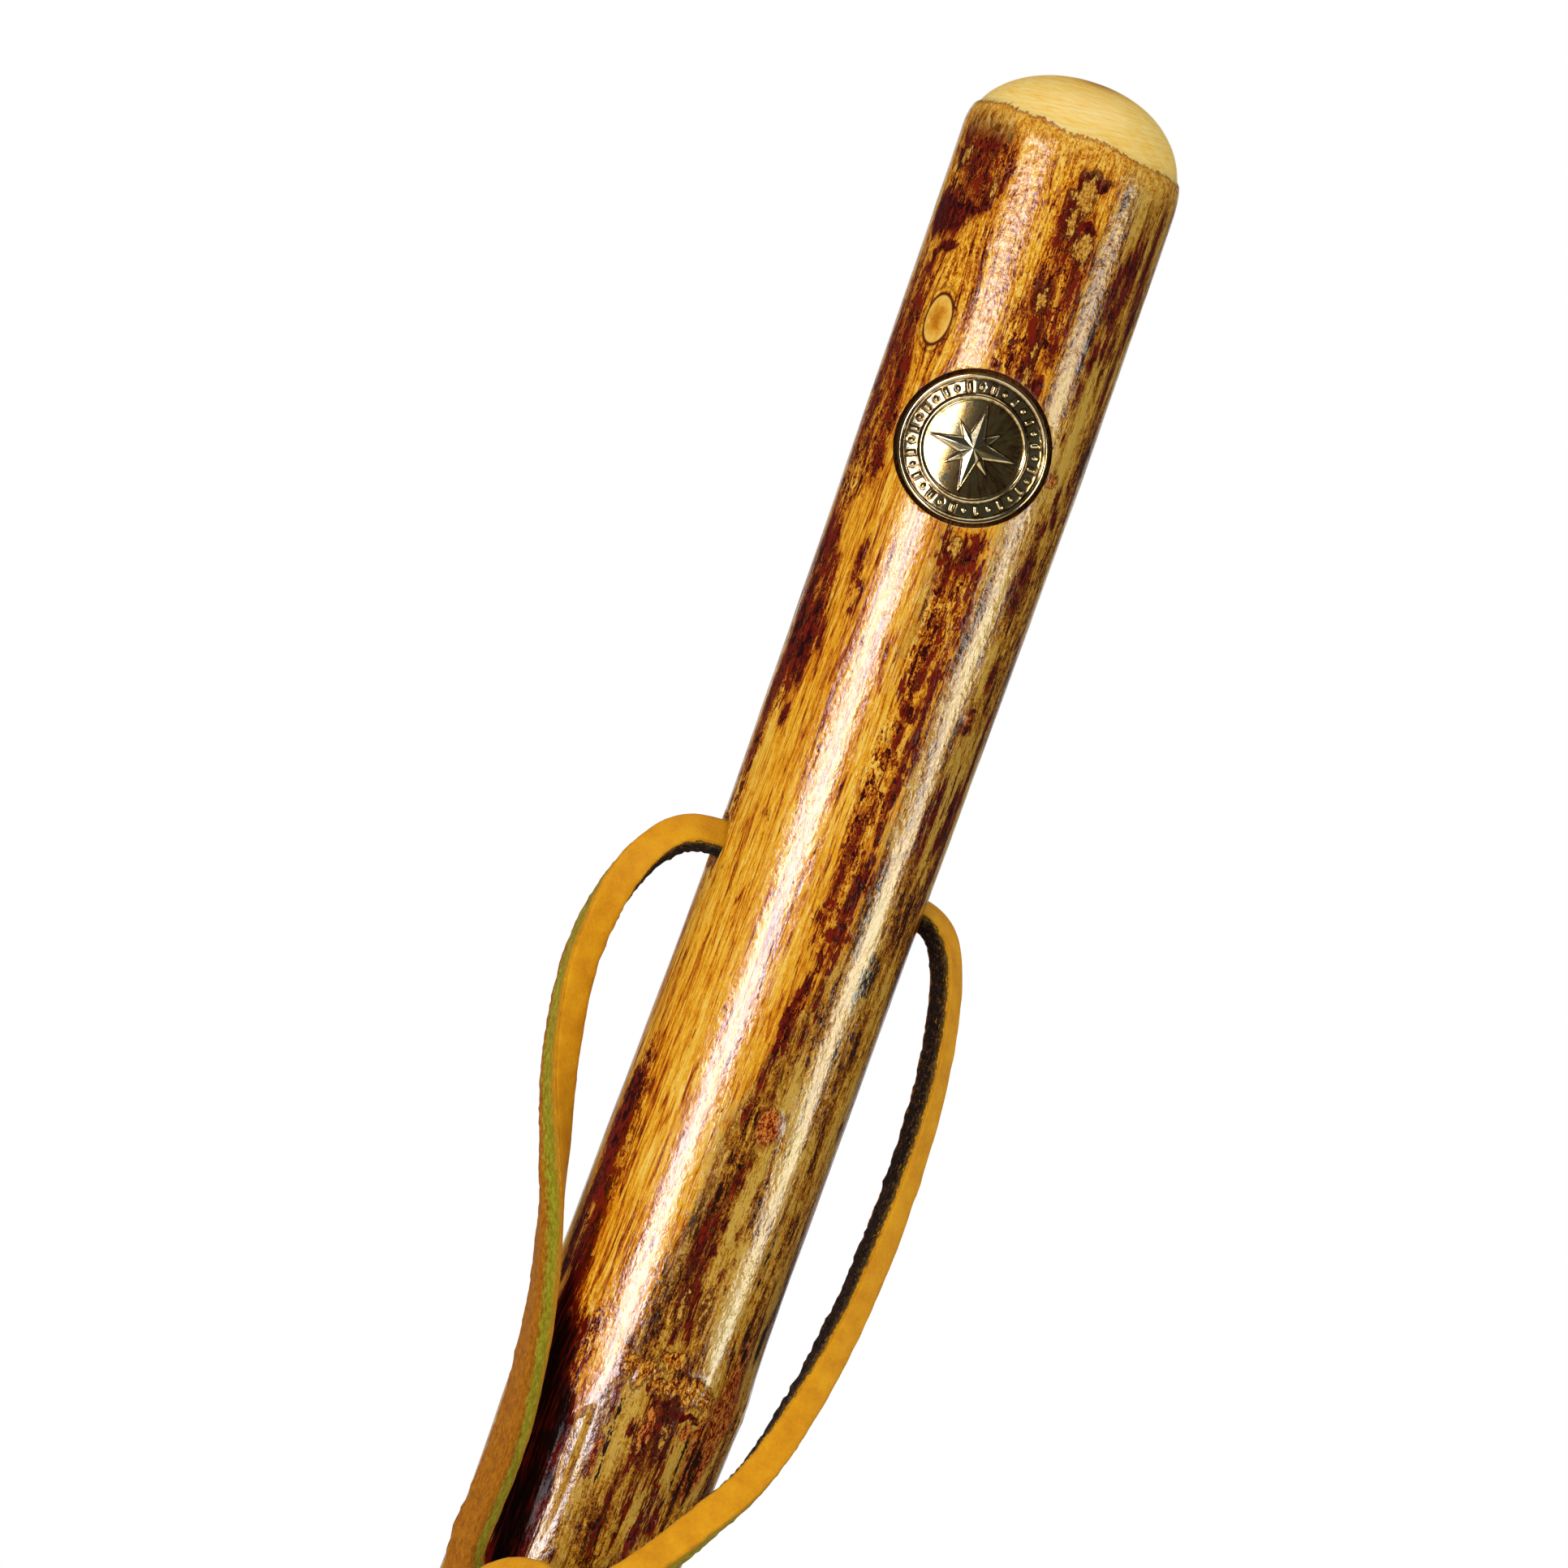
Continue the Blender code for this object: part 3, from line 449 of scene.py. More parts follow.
def border_turns(pairs, depth):
    """The turn of a border line at each depth, through spots read off the photograph."""
    spots = sorted((on_bark(across, below)[::-1] for across, below in pairs))
    return np.interp(depth, [s[0] for s in spots], [s[1] for s in spots])


def peel_depth(turn):
    """The depth of the bark's edge at each turn. Its two spots at either end are round the back."""
    spots = sorted(on_bark(across, below) for across, below in PEEL_EDGE)
    turns = [-np.pi, -2.2, *(s[0] for s in spots), 2.2, np.pi]
    depths = [8.0, 7.2, *(s[1] for s in spots), 8.8, 8.0]
    return np.interp(turn, turns, depths)


def toothed_edge(turn):
    """The bark's edge with its small teeth."""
    return peel_depth(turn) + 0.25 * round_noise(turn, 0.0 * turn, 0.8, 1.0, 14)


def dome_height(turn):
    """How far down the dome reaches at each turn. It is cut longer on its right."""
    return DOME_HEIGHT + 3.0 * np.maximum(np.sin(turn), 0.0) ** 1.5


def dome_share(turn, depth):
    """The share of the full radius that the dome has at a depth."""
    height = dome_height(turn)
    power = 2.0 + 0.25 * np.maximum(np.sin(turn), 0.0)
    return np.clip(1.0 - np.clip(1.0 - depth / height, 0.0, 1.0) ** power, 0.0, 1.0) ** (1.0 / power)


def relief(turn, depth):
    """How far the bark stands off the shaft's plain form."""
    out = 0.10 * round_noise(turn, depth, 9.0, 34.0, 11)
    out += 0.05 * round_noise(turn, depth, 3.2, 12.0, 12)
    out += 0.02 * round_noise(turn, depth, 1.1, 2.6, 13)
    out -= 0.34 * (1.0 - smooth(depth - toothed_edge(turn), -0.15, 0.35))
    for across, below, half_width, half_length, height in CORK_MARKS:
        lump = marked(turn, depth, [(across, below, half_width, half_length)])
        out += height * smooth(lump / half_width, -0.15, 0.75)
    reach = knot_reach(turn, depth)
    out += 0.16 * smooth(1.9 - reach, 0.0, 1.2) - 0.12 * np.exp(-(((reach - 1.0) / 0.12) ** 2))
    for place in NODES_FROM_TOP:
        swollen = place + 1.5 * np.sin(2.0 * turn + place)
        swollen += 1.5 * round_noise(turn, 0.0 * depth, 6.0, 1.0, 15)
        lumps = 0.5 + 0.5 * round_noise(turn, depth, 2.2, 2.4, 16)
        scale = 0.35 if place < PHOTO_DEPTH else 0.55
        near = np.exp(-0.5 * ((depth - swollen + 4.0) / 2.2) ** 2)
        out += scale * lumps * smooth_side(turn, place) * near
    return out - 0.28 * torn_edge(turn, depth)


def smooth_side(turn, place):
    """Keeps the shown node's lumps off the smooth wood left of the middle."""
    if place > PHOTO_DEPTH:
        return 1.0
    return 1.0 - np.exp(-(((turn + 0.5) / 0.4) ** 2))


def knot_reach(turn, depth):
    """0 at the branch knot's middle, 1 on its border, and more outside."""
    across, below, half_width, half_length = BRANCH_KNOT
    knot_turn, knot_depth = on_bark(across, below)
    half_arc = half_width / math.cos(knot_turn)
    side = (turn - knot_turn) * GRIP_RADIUS / half_arc
    return np.sqrt(side**2 + ((depth - knot_depth) / half_length) ** 2)


def torn_edge(turn, depth):
    """1 in the strip below the torn edge of the bark, left of the middle, and 0 elsewhere."""
    (left_turn, left_depth), (right_turn, right_depth) = (on_bark(*spot) for spot in TORN_ENDS)
    slope = (right_depth - left_depth) / (right_turn - left_turn)
    line = left_depth + (turn - left_turn) * slope
    line = line + 0.3 * round_noise(turn, depth, 0.8, 0.8, 17)
    inside = smooth(depth - line, -0.1, 0.25) * smooth(turn, left_turn - 0.06, left_turn)
    inside = inside * (1.0 - smooth(turn, right_turn, right_turn + 0.06))
    return inside * (1.0 - smooth(depth, 190.0, 206.0))


def bark_radius(turn, depth):
    """The radius of the dressed shaft."""
    return (plain_radius(depth) + relief(turn, depth)) * dome_share(turn, depth)


# Building meshes


def mesh_piece(name, points, faces, material=None):
    """A mesh object from points in millimetres."""
    data = bpy.data.meshes.new(name)
    data.from_pydata((np.asarray(points) * MM).tolist(), [], faces)
    data.update()
    data.shade_smooth()
    made = bpy.data.objects.new(name, data)
    bpy.context.scene.collection.objects.link(made)
    if material:
        data.materials.append(material)
    return made


def ring_faces(first, second, count):
    """The quads between two rings of points, given by the index of their first point."""
    after = [(k + 1) % count for k in range(count)]
    return [(first + k, first + after[k], second + after[k], second + k) for k in range(count)]


def fan_faces(middle, start, count):
    """The triangles between a middle point and a ring of points."""
    return [(middle, start + k, start + (k + 1) % count) for k in range(count)]


def tidy_normals(obj):
    """Turns every face outwards."""
    shape = bmesh.new()
    shape.from_mesh(obj.data)
    bmesh.ops.recalc_face_normals(shape, faces=shape.faces)
    shape.to_mesh(obj.data)
    shape.free()


def stack_piece(name, rings, ends, material=None):
    """A closed piece made of rings of points, each joined to the next, with a middle point at either end."""
    count = len(rings[0])
    last = 1 + (len(rings) - 1) * count
    faces = fan_faces(0, 1, count)
    for start in range(1, last, count):
        faces += ring_faces(start, start + count, count)
    faces += fan_faces(last + count, last, count)
    made = mesh_piece(name, np.vstack([[ends[0]], *rings, [ends[1]]]), faces, material)
    tidy_normals(made)
    return made


def even_turns(count):
    """Turns an even step apart, once round."""
    return 2.0 * np.pi * np.arange(count) / count


def plain_ring(turns, radius, height):
    """Points round the staff's upright axis."""
    return np.stack([radius * np.sin(turns), -radius * np.cos(turns), np.full(len(turns), height)], axis=1)


def places_of(obj):
    """Where a piece's points are, in millimetres."""
    flat = np.zeros(len(obj.data.vertices) * 3, np.float32)
    obj.data.vertices.foreach_get("co", flat)
    return flat.reshape(-1, 3).astype(float) / MM


def put_values(obj, name, values):
    """Stores one number a point."""
    layer = obj.data.attributes.new(name, "FLOAT", "POINT")
    layer.data.foreach_set("value", np.asarray(values, np.float32))


def put_vectors(obj, name, values):
    """Stores three numbers a point."""
    layer = obj.data.attributes.new(name, "FLOAT_VECTOR", "POINT")
    layer.data.foreach_set("vector", np.asarray(values, np.float32).ravel())


# The shaft

FRONT_SIDES = 126
BACK_SIDES = 62
FRONT_REACH = math.radians(100.0)
FINE_STEP = 0.6
FINE_DEPTH = 224.0
COARSE_STEP = 4.5
DOME_RINGS = 34
DOME_FADE = 22.0
RECESS_SIDES = 120
HOLE_SIDES = 64


def shaft_turns():
    """The turns of the shaft's points, closer together in front."""
    front = np.linspace(-FRONT_REACH, FRONT_REACH, FRONT_SIDES + 1)
    back = np.linspace(FRONT_REACH, 2.0 * np.pi - FRONT_REACH, BACK_SIDES + 1)
    return np.concatenate([front[:-1], back[:-1]])


def bark_ring(turns, depths):
    """Points round the dressed shaft."""
    radii = bark_radius(turns, depths)
    side, back = centre_line(depths)
    return np.stack(
        [side + radii * np.sin(turns), back - radii * np.cos(turns), STAFF_LENGTH - depths], axis=1
    )


def build_shaft(material):
    """The dressed shaft, from the tenon's end to the dome."""
    turns = shaft_turns()
    count = len(turns)
    height = dome_height(turns)
    rises = np.linspace(0.5 * np.pi, 0.0, DOME_RINGS + 1)[1:]
    plans = [DOME_HEIGHT * (1.0 - math.sin(rise)) for rise in rises]
    fine_rings = round((FINE_DEPTH - DOME_HEIGHT) / FINE_STEP)
    plans += np.linspace(DOME_HEIGHT, FINE_DEPTH, fine_rings + 1)[1:].tolist()
    rings = []
    for plan in plans:
        if plan <= DOME_HEIGHT:
            depths = plan * height / DOME_HEIGHT
        else:
            depths = plan + (height - DOME_HEIGHT) * (1.0 - smooth(plan - DOME_HEIGHT, 0.0, DOME_FADE))
        rings.append(bark_ring(turns, depths))
    fine_last = 1 + (len(rings) - 1) * count
    coarse_first = fine_last + count

    turns = turns[::2]
    half = len(turns)
    shoulder = STAFF_LENGTH - FERRULE_HEIGHT - TOUCH_GAP
    chamfer = SHOULDER_CHAMFER
    coarse_rings = round((shoulder - chamfer - FINE_DEPTH) / COARSE_STEP)
    for depth in np.linspace(FINE_DEPTH, shoulder - chamfer, coarse_rings + 1)[1:]:
        rings.append(bark_ring(turns, np.full(half, depth)))
    for radius, level in (
        (float(plain_radius(shoulder)) - chamfer, STAFF_LENGTH - shoulder),
        (TENON_RADIUS, STAFF_LENGTH - shoulder),
        (TENON_RADIUS, TENON_END + chamfer),
        (TENON_RADIUS - chamfer, TENON_END),
    ):
        rings.append(plain_ring(turns, radius, level))
    coarse_last = coarse_first + (coarse_rings + 3) * half

    faces = fan_faces(0, 1, count)
    for start in range(1, fine_last, count):
        faces += [face[::-1] for face in ring_faces(start, start + count, count)]
    for k in range(half):
        fine = [fine_last + (2 * k + j) % count for j in range(3)]
        low = [coarse_first + k, coarse_first + (k + 1) % half]
        faces += [(fine[0], fine[1], low[0]), (fine[1], low[1], low[0]), (fine[1], fine[2], low[1])]
    for start in range(coarse_first, coarse_last, half):
        faces += [face[::-1] for face in ring_faces(start, start + half, half)]
    faces += fan_faces(coarse_last + half, coarse_last, half)
    ends = [[[*centre_line(0.0), STAFF_LENGTH]], [[0.0, 0.0, TENON_END]]]
    made = mesh_piece("staff_shaft", np.vstack([ends[0], *rings, ends[1]]), faces, material)
    tidy_normals(made)
    return made


def bent_point(flat_radius, turn, depth):
    """A place on the medallion, a depth behind its face."""
    side, back = centre_line(MEDALLION_FROM_TOP)
    front = plain_radius(MEDALLION_FROM_TOP) - MEDALLION_INSET
    across = flat_radius * np.cos(turn)
    bend = MEDALLION_BEND_RADIUS - depth
    behind = MEDALLION_BEND_RADIUS - np.sqrt(bend**2 - across**2)
    up = flat_radius * np.sin(turn)
    return np.stack([side + across, back - front + behind, STAFF_LENGTH - MEDALLION_FROM_TOP + up], axis=-1)


def cut(target, cutter):
    """Takes a cutter's shape out of a piece, and removes the cutter."""
    tool = target.modifiers.new("cut", "BOOLEAN")
    tool.operation = "DIFFERENCE"
    tool.solver = "EXACT"
    tool.object = cutter
    bpy.context.view_layer.update()
    evaluated = target.evaluated_get(bpy.context.evaluated_depsgraph_get())
    fresh = bpy.data.meshes.new_from_object(evaluated)
    target.modifiers.clear()
    old = target.data
    target.data = fresh
    bpy.data.meshes.remove(old)
    bpy.data.objects.remove(cutter)


def recess_cutter():
    """The round pocket for the medallion, bent as the medallion is."""
    radius = MEDALLION_RADIUS + MEDALLION_RIM_GAP
    mouth = radius + RECESS_FLARE
    profile = [(radius * share, RECESS_FLOOR) for share in (0.25, 0.5, 0.75, 1.0)]
    profile += [(radius, depth) for depth in (1.8, 1.0, 0.2, -0.6, -1.6)]
    profile += [(mouth, -2.4), (mouth, -RECESS_CUTTER_REACH)]
    profile += [(mouth * share, -RECESS_CUTTER_REACH) for share in (0.75, 0.5, 0.25)]
    turns = even_turns(RECESS_SIDES)
    rings = [bent_point(flat_radius, turns, depth) for flat_radius, depth in profile]
    ends = [bent_point(0.0, 0.0, RECESS_FLOOR), bent_point(0.0, 0.0, -RECESS_CUTTER_REACH)]
    return stack_piece("recess_cutter", rings, ends)


def hole_cutter():
    """The cross hole, with worn edges at its mouths."""
    along = np.array([math.cos(HOLE_TURN), math.sin(HOLE_TURN), 0.0])
    across = np.array([-math.sin(HOLE_TURN), math.cos(HOLE_TURN), 0.0])
    middle = np.array([*centre_line(HOLE_FROM_TOP), STAFF_LENGTH - HOLE_FROM_TOP])
    turns = even_turns(HOLE_SIDES)[:, None]
    outward = np.cos(turns) * across + np.sin(turns) * np.array([0.0, 0.0, 1.0])
    profile = [*HOLE_MOUTH, (0.0, HOLE_RADIUS)]
    profile += [(-place, radius) for place, radius in reversed(HOLE_MOUTH)]
    rings = [middle + along * place + radius * outward for place, radius in profile]
    return stack_piece("hole_cutter", rings, [middle + along * profile[k][0] for k in (0, -1)])


def wander(depth, low, high, length, seed):
    """A line that wanders between two turns, in degrees, along the shaft."""
    spots = np.stack([depth / length, 0.0 * depth + 0.37, 0.0 * depth + seed], axis=1)
    share = 0.5 + 0.5 * np.clip(1.6 * gradient_noise(spots, seed), -1.0, 1.0)
    return np.radians(low + (high - low) * share)


def mark_shaft(obj):
    """Works out the bark's fields from each point's place, and stores them on the shaft."""
    places = places_of(obj)
    depth = STAFF_LENGTH - places[:, 2]
    off_axis = places[:, :2] - np.stack(centre_line(depth), axis=1)
    off_side, off_back = off_axis.T
    turn = np.arctan2(off_side, -off_back)
    radius = np.hypot(off_side, off_back)

    push_side = 0.30 * round_noise(turn, depth, 1.0, 2.0, 21) + 0.35 * round_noise(turn, depth, 2.6, 7.0, 22)
    push_down = 0.6 * round_noise(turn, depth, 1.0, 2.0, 23) + 1.0 * round_noise(turn, depth, 2.4, 6.0, 24)
    pushed_turn = turn + push_side / GRIP_RADIUS
    pushed_depth = depth + push_down
    draw = np.random.default_rng(5)
    for name, marks, pushed, random_sets in MARK_FIELDS:
        spots = (pushed_turn, pushed_depth) if pushed else (turn, depth)
        field = marked(*spots, marks)
        for random_set in random_sets:
            random_marks(field, *spots, draw, *random_set)
        put_values(obj, name, field)

    lower = smooth(depth, 206.0, 235.0)
    left = border_turns(OLIVE_BORDER, pushed_depth) * (1.0 - lower)
    left += wander(depth, -120.0, 40.0, 120.0, 31) * lower
    right = wander(depth, 120.0, 200.0, 90.0, 32)
    whole = 2.0 * np.pi
    olive = np.minimum(pushed_turn - left, right - pushed_turn)
    olive = np.maximum(olive, np.minimum(pushed_turn + whole - left, right - pushed_turn - whole))
    put_values(obj, "olive", np.clip(olive * GRIP_RADIUS, -FIELD_REACH, FIELD_REACH))

    inner = bark_radius(turn, np.maximum(depth, 0.0)) - radius
    reach = knot_reach(turn, depth)
    put_values(obj, "peeled", np.clip(toothed_edge(turn) - depth, -8.0, 6.0))
    put_values(obj, "inner", np.where(depth > STAFF_LENGTH - FERRULE_HEIGHT - 0.8, 1.0, inner))
    # How much the dome's very top is darkened to brown
    put_values(obj, "dark_dome_top", np.exp(-(((off_side - 0.5) / 3.4) ** 2) - depth**2))
    put_values(obj, "warm", 1.0 - smooth(depth, 25.0, 75.0))
    put_values(obj, "knot", np.minimum(reach, FIELD_REACH))
    put_values(obj, "pith", np.hypot(off_side + 1.5, off_back + 0.8))

    knot_turn, _ = on_bark(*BRANCH_KNOT[:2])
    grain_turn = knot_turn + (turn - knot_turn) * (1.0 - 0.6 * np.exp(-0.5 * (reach / 1.7) ** 2))
    grain = np.stack([GRIP_RADIUS * np.sin(grain_turn), -GRIP_RADIUS * np.cos(grain_turn), depth], axis=1)
    on_top = smooth(GRIP_RADIUS - radius, 0.5, 3.0)[:, None]
    grain[:, :2] = grain[:, :2] * (1.0 - on_top) + off_axis * on_top
    put_vectors(obj, "grain", grain)


# Shader helpers


class Value:
    """A number that nodes work out. Plain sums with it add the nodes."""

    def __init__(self, nodes, socket):
        self.nodes = nodes
        self.socket = socket

    def __add__(self, other):
        return self.nodes.math("ADD", self, other)

    def __sub__(self, other):
        return self.nodes.math("SUBTRACT", self, other)

    def __mul__(self, other):
        return self.nodes.math("MULTIPLY", self, other)

    def at_least(self, other):
        return self.nodes.math("MAXIMUM", self, other)

    def at_most(self, other):
        return self.nodes.math("MINIMUM", self, other)

    def spread(self, amount):
        """Noise about 0 with a given reach."""
        return (self - 0.5) * (2.0 * amount)

    def step(self, low, high, start=0.0, end=1.0):
        """start at low, end at high, and smooth between them."""
        inputs = {"Value": self, "From Min": low, "From Max": high, "To Min": start, "To Max": end}
        made = self.nodes.add("MapRange", inputs, interpolation_type="SMOOTHSTEP")
        return Value(self.nodes, made.outputs["Result"])

    def fade(self, start, end):
        """start at 0, end at 1, and smooth between them."""
        return self.step(0.0, 1.0, start, end)


class Nodes:
    """Adds nodes to a node tree and links them."""

    def __init__(self, tree):
        self.tree = tree

    def put(self, socket, value):
        """Links a node's output to a socket, or sets the socket's own value."""
        if isinstance(value, Value):
            value = value.socket
        if isinstance(value, bpy.types.NodeSocket):
            self.tree.links.new(value, socket)
        elif isinstance(value, tuple) and len(value) == 3 and socket.type == "RGBA":
            socket.default_value = (*value, 1.0)
        else:
            socket.default_value = value

    def add(self, kind, inputs=(), **settings):
        """A node of a kind, with its settings and its inputs by name or number."""
        made = self.tree.nodes.new("ShaderNode" + kind)
        for key, value in settings.items():
            setattr(made, key, value)
        for key, value in dict(inputs).items():
            self.put(made.inputs[key], value)
        return made

    def math(self, operation, first, second=0.0):
        return Value(self, self.add("Math", {0: first, 1: second}, operation=operation).outputs[0])

    def parts(self, vector):
        """A vector's three numbers."""
        return [Value(self, socket) for socket in self.add("SeparateXYZ", {0: vector}).outputs]

    def scaled(self, vector, factors):
        return self.add("VectorMath", {0: vector, 1: factors}, operation="MULTIPLY").outputs[0]


class Shader(Nodes):
    """A new material and its nodes."""

    def __init__(self, name):
        self.material = bpy.data.materials.new(name)
        self.material.use_nodes = True
        super().__init__(self.material.node_tree)
        self.bsdf = self.tree.nodes["Principled BSDF"]

    def attribute(self, name):
        return Value(self, self.add("Attribute", attribute_name=name).outputs["Fac"])

    def vector(self, name):
        return self.add("Attribute", attribute_name=name).outputs["Vector"]

    def here(self):
        """Object coordinates in millimetres."""
        return self.scaled(self.add("TexCoord").outputs["Object"], (1000.0, 1000.0, 1000.0))

    def noise(self, vector, scale, detail, roughness, distortion=0.0):
        inputs = {"Vector": vector, "Scale": scale, "Detail": detail}
        inputs.update({"Roughness": roughness, "Distortion": distortion})
        return Value(self, self.add("TexNoise", inputs).outputs["Fac"])

    def grained(self, across, along, detail, roughness, distortion=0.0):
        """Noise on the wood, with its scale across the grain and along it."""
        spots = self.scaled(self.vector("grain"), (across, across, along))
        return self.noise(spots, 1.0, detail, roughness, distortion)

    def lines(self, across, along, level, reach, distortion):
        """1 along thin winding lines in the wood and 0 between them."""
        away = self.grained(across, along, 2.0, 0.5, distortion) - level
        return self.math("ABSOLUTE", away).step(0.0, reach, 1.0, 0.0)

    def cells(self, across, along, warp):
        """A number for each cell of a ragged mosaic in the wood, evenly spread from 0 to 1."""
        spots = self.scaled(self.vector("grain"), (across, across, along))
        shift = self.add("TexNoise", {"Vector": spots, "Scale": 1.3, "Detail": 3.0}).outputs["Color"]
        shift = self.scaled(shift, (warp, warp, warp))
        moved = self.add("VectorMath", {0: spots, 1: shift}, operation="ADD").outputs[0]
        mosaic = self.add("TexVoronoi", {"Vector": moved, "Scale": 1.0}).outputs["Color"]
        return Value(self, self.add("SeparateColor", {0: mosaic}).outputs[0])

    def ramp(self, value, *stops):
        """Colours along a value. Each stop is a place and a colour as shown on a screen, from 0 to 255."""
        made = self.add("ValToRGB", {0: value})
        while len(made.color_ramp.elements) < len(stops):
            made.color_ramp.elements.new(0.5)
        for element, (place, *colour) in zip(made.color_ramp.elements, stops):
            element.position = place
            element.color = (*seen(*colour), 1.0)
        return made.outputs["Color"]

    def mix(self, share, first, second):
        return self.add("Mix", {0: share, 6: first, 7: second}, data_type="RGBA").outputs[2]

    def bump(self, height, distance, strength):
        inputs = {"Height": height, "Distance": distance, "Strength": strength}
        return self.add("Bump", inputs).outputs["Normal"]

    def finish(self, **inputs):
        """Sets the main shader's sockets. Names have underscores for spaces."""
        for key, value in inputs.items():
            self.put(self.bsdf.inputs[key.replace("_", " ")], value)
        return self.material


def seen(red, green, blue):
    """A colour as shown on a screen, turned into light."""
    parts = []
    for value in (red, green, blue):
        share = value / 255.0
        parts.append(share / 12.92 if share <= 0.04045 else ((share + 0.055) / 1.055) ** 2.4)
    return tuple(parts)


# Materials

BUMP_UNIT = 0.001


def wood_material():
    """Varnished sapling wood: peeled, golden, olive bark, maroon stains, cork, lichen and cut wood, with a
    painted shadow in the near-black stain at the lower left and a painted highlight in the pale strip on the
    right.
    """
    s = Shader("varnished_sapling")
    streak = s.grained(0.9, 0.03, 4.0, 0.6)
    thread = s.grained(3.4, 0.25, 3.0, 0.6)
    fleck = s.grained(2.1, 0.95, 5.0, 0.65, 0.5)
    speck = s.grained(5.0, 3.0, 3.0, 0.6)
    broad = s.grained(0.3, 0.06, 3.0, 0.5)
    fine_lines = s.lines(1.5, 0.06, 0.5, 0.026, 0.4)
    wide_lines = s.lines(0.6, 0.03, 0.5, 0.03, 0.4)
    pale_worm = s.lines(1.5, 0.7, 0.5, 0.035, 0.8)
    dark_worm = s.lines(1.5, 0.7, 0.56, 0.022, 0.8)
    bark_lines = s.lines(0.9, 0.09, 0.5, 0.02, 0.5)
    cell = s.cells(1.15, 0.7, 0.9)
    crack = s.attribute("crack") + (thread.spread(0.5) + fleck.spread(0.7))
    knot = s.attribute("knot")
    peeled = s.attribute("peeled") + fleck.spread(1.0)
    inner = s.attribute("inner")
    warm = s.attribute("warm")

    # Where the wood is mottled, barky, stained, or pale along the right lamp's highlight, which is partly
    # painted highlight
    mottle = (s.attribute("rust") + broad.spread(2.4)).step(-0.8, 1.6)
    barky = s.attribute("olive").step(-0.3, 0.3)
    # Painted highlight: along the right lamp's highlight the bark is lightened, its dark lines softened and
    # its maroon held back
    pale_highlight_strip = (s.attribute("pale") + fleck.spread(1.5)).step(-0.3, 0.7)
    mosaic = cell.spread(0.72) * mottle.fade(0.3, 1.0) * barky.fade(1.0, 0.25)
    broken = mottle * barky.fade(1.0, 0.0)
    ragged = fleck.spread(0.8) + thread.spread(1.2) + mosaic + speck.spread(1.0) * broken
    red = mottle * barky.fade(1.0, 0.35)
    dash = (s.grained(1.25, 0.2, 4.0, 0.6, 0.3) - red.fade(0.72, 0.615)) * 7.0
    maroon = s.attribute("maroon").at_least(dash) + ragged - pale_highlight_strip * 0.5 - barky * 0.08

    # Golden wood, and the stains on it
    dots = fleck.spread(1.1) + speck.spread(0.8) + cell.spread(0.42) * mottle
    busy = mottle.fade(0.25, 1.0).at_least(warm * 0.7)
    tone = streak.spread(0.5) + thread.spread(0.55) + dots * busy + mottle.fade(0.67, 0.55) - warm * 0.08
    curls = pale_worm * 0.16 - dark_worm * 0.2
    tone = tone + curls * (warm * 0.8).at_least(mottle) - (fine_lines * 0.24 + wide_lines * 0.3)
    wood = s.ramp(
        tone,
        (0.0, 52, 3, 1),
        (0.16, 106, 24, 2),
        (0.3, 156, 66, 4),
        (0.45, 204, 115, 12),
        (0.6, 233, 158, 22),
        (0.75, 247, 188, 48),
        (0.95, 254, 217, 104),
    )
    stain_tone = fleck.spread(1.3) + thread.spread(0.8) + 0.5 + cell.spread(0.55) * broken
    stain = s.ramp(stain_tone, (0.15, 30, 1, 0), (0.5, 72, 5, 1), (0.85, 126, 28, 2))
    wood = s.mix(maroon.step(-0.5, 0.0, 0.0, 0.6), wood, seen(176, 80, 7))

    # Olive bark
    bark_tone = broad.spread(1.3) + streak.spread(0.6) + (fleck.spread(0.8) + speck.spread(0.6))
    bark_tone = bark_tone + (thread.spread(0.7) + cell.spread(0.1))
    worms = (pale_worm * 0.2 - dark_worm * 0.26 - bark_lines * 0.28) * pale_highlight_strip.fade(1.0, 0.6)
    bark_tone = bark_tone + worms + pale_highlight_strip.fade(0.57, 0.7)
    bark = s.ramp(
        bark_tone,
        (0.0, 38, 8, 1),
        (0.2, 98, 42, 3),
        (0.38, 147, 83, 8),
        (0.54, 180, 119, 20),
        (0.7, 208, 150, 42),
        (0.95, 226, 181, 84),
    )
    moss = s.ramp(bark_tone, (0.1, 72, 34, 3), (0.4, 145, 92, 10), (0.65, 185, 131, 26), (0.9, 213, 171, 72))
    bark = s.mix((broad + cell.spread(0.06)).step(0.46, 0.62), bark, moss)
    bark = s.mix(maroon.step(-0.3, 0.0, 0.0, 0.5), bark, seen(124, 54, 4))
    colour = s.mix((s.attribute("olive") + ragged * 2.0).step(-0.3, 0.3), wood, bark)

    # Grey streaks, maroon stains, and the nearly black stain with the left strand's shadow painted in
    grey = s.ramp(bark_tone, (0.2, 104, 76, 24), (0.5, 166, 134, 66), (0.8, 202, 176, 106))
    colour = s.mix((s.attribute("grey") + ragged).step(-0.9, 0.7, 0.0, 0.4), colour, grey)
    colour = s.mix(maroon.step(-0.1, 0.05), colour, stain)
    # Painted shadow: the left strand's shadow, as a near-black patch mixed into a real dark stain
    dark_stain_and_shadow_field = s.attribute("core")
    core = (dark_stain_and_shadow_field + (ragged * 0.6 + streak.spread(2.4))).step(-0.15, 0.35)
    dark_stain_and_shadow_tone = thread.spread(1.4) + streak.spread(1.0) + dark_stain_and_shadow_field.step(0.2, 1.6, 0.75, 0.3)
    colour = s.mix(core, colour, s.ramp(dark_stain_and_shadow_tone, (0.2, 14, 1, 1), (0.5, 46, 3, 1), (0.85, 92, 10, 2)))

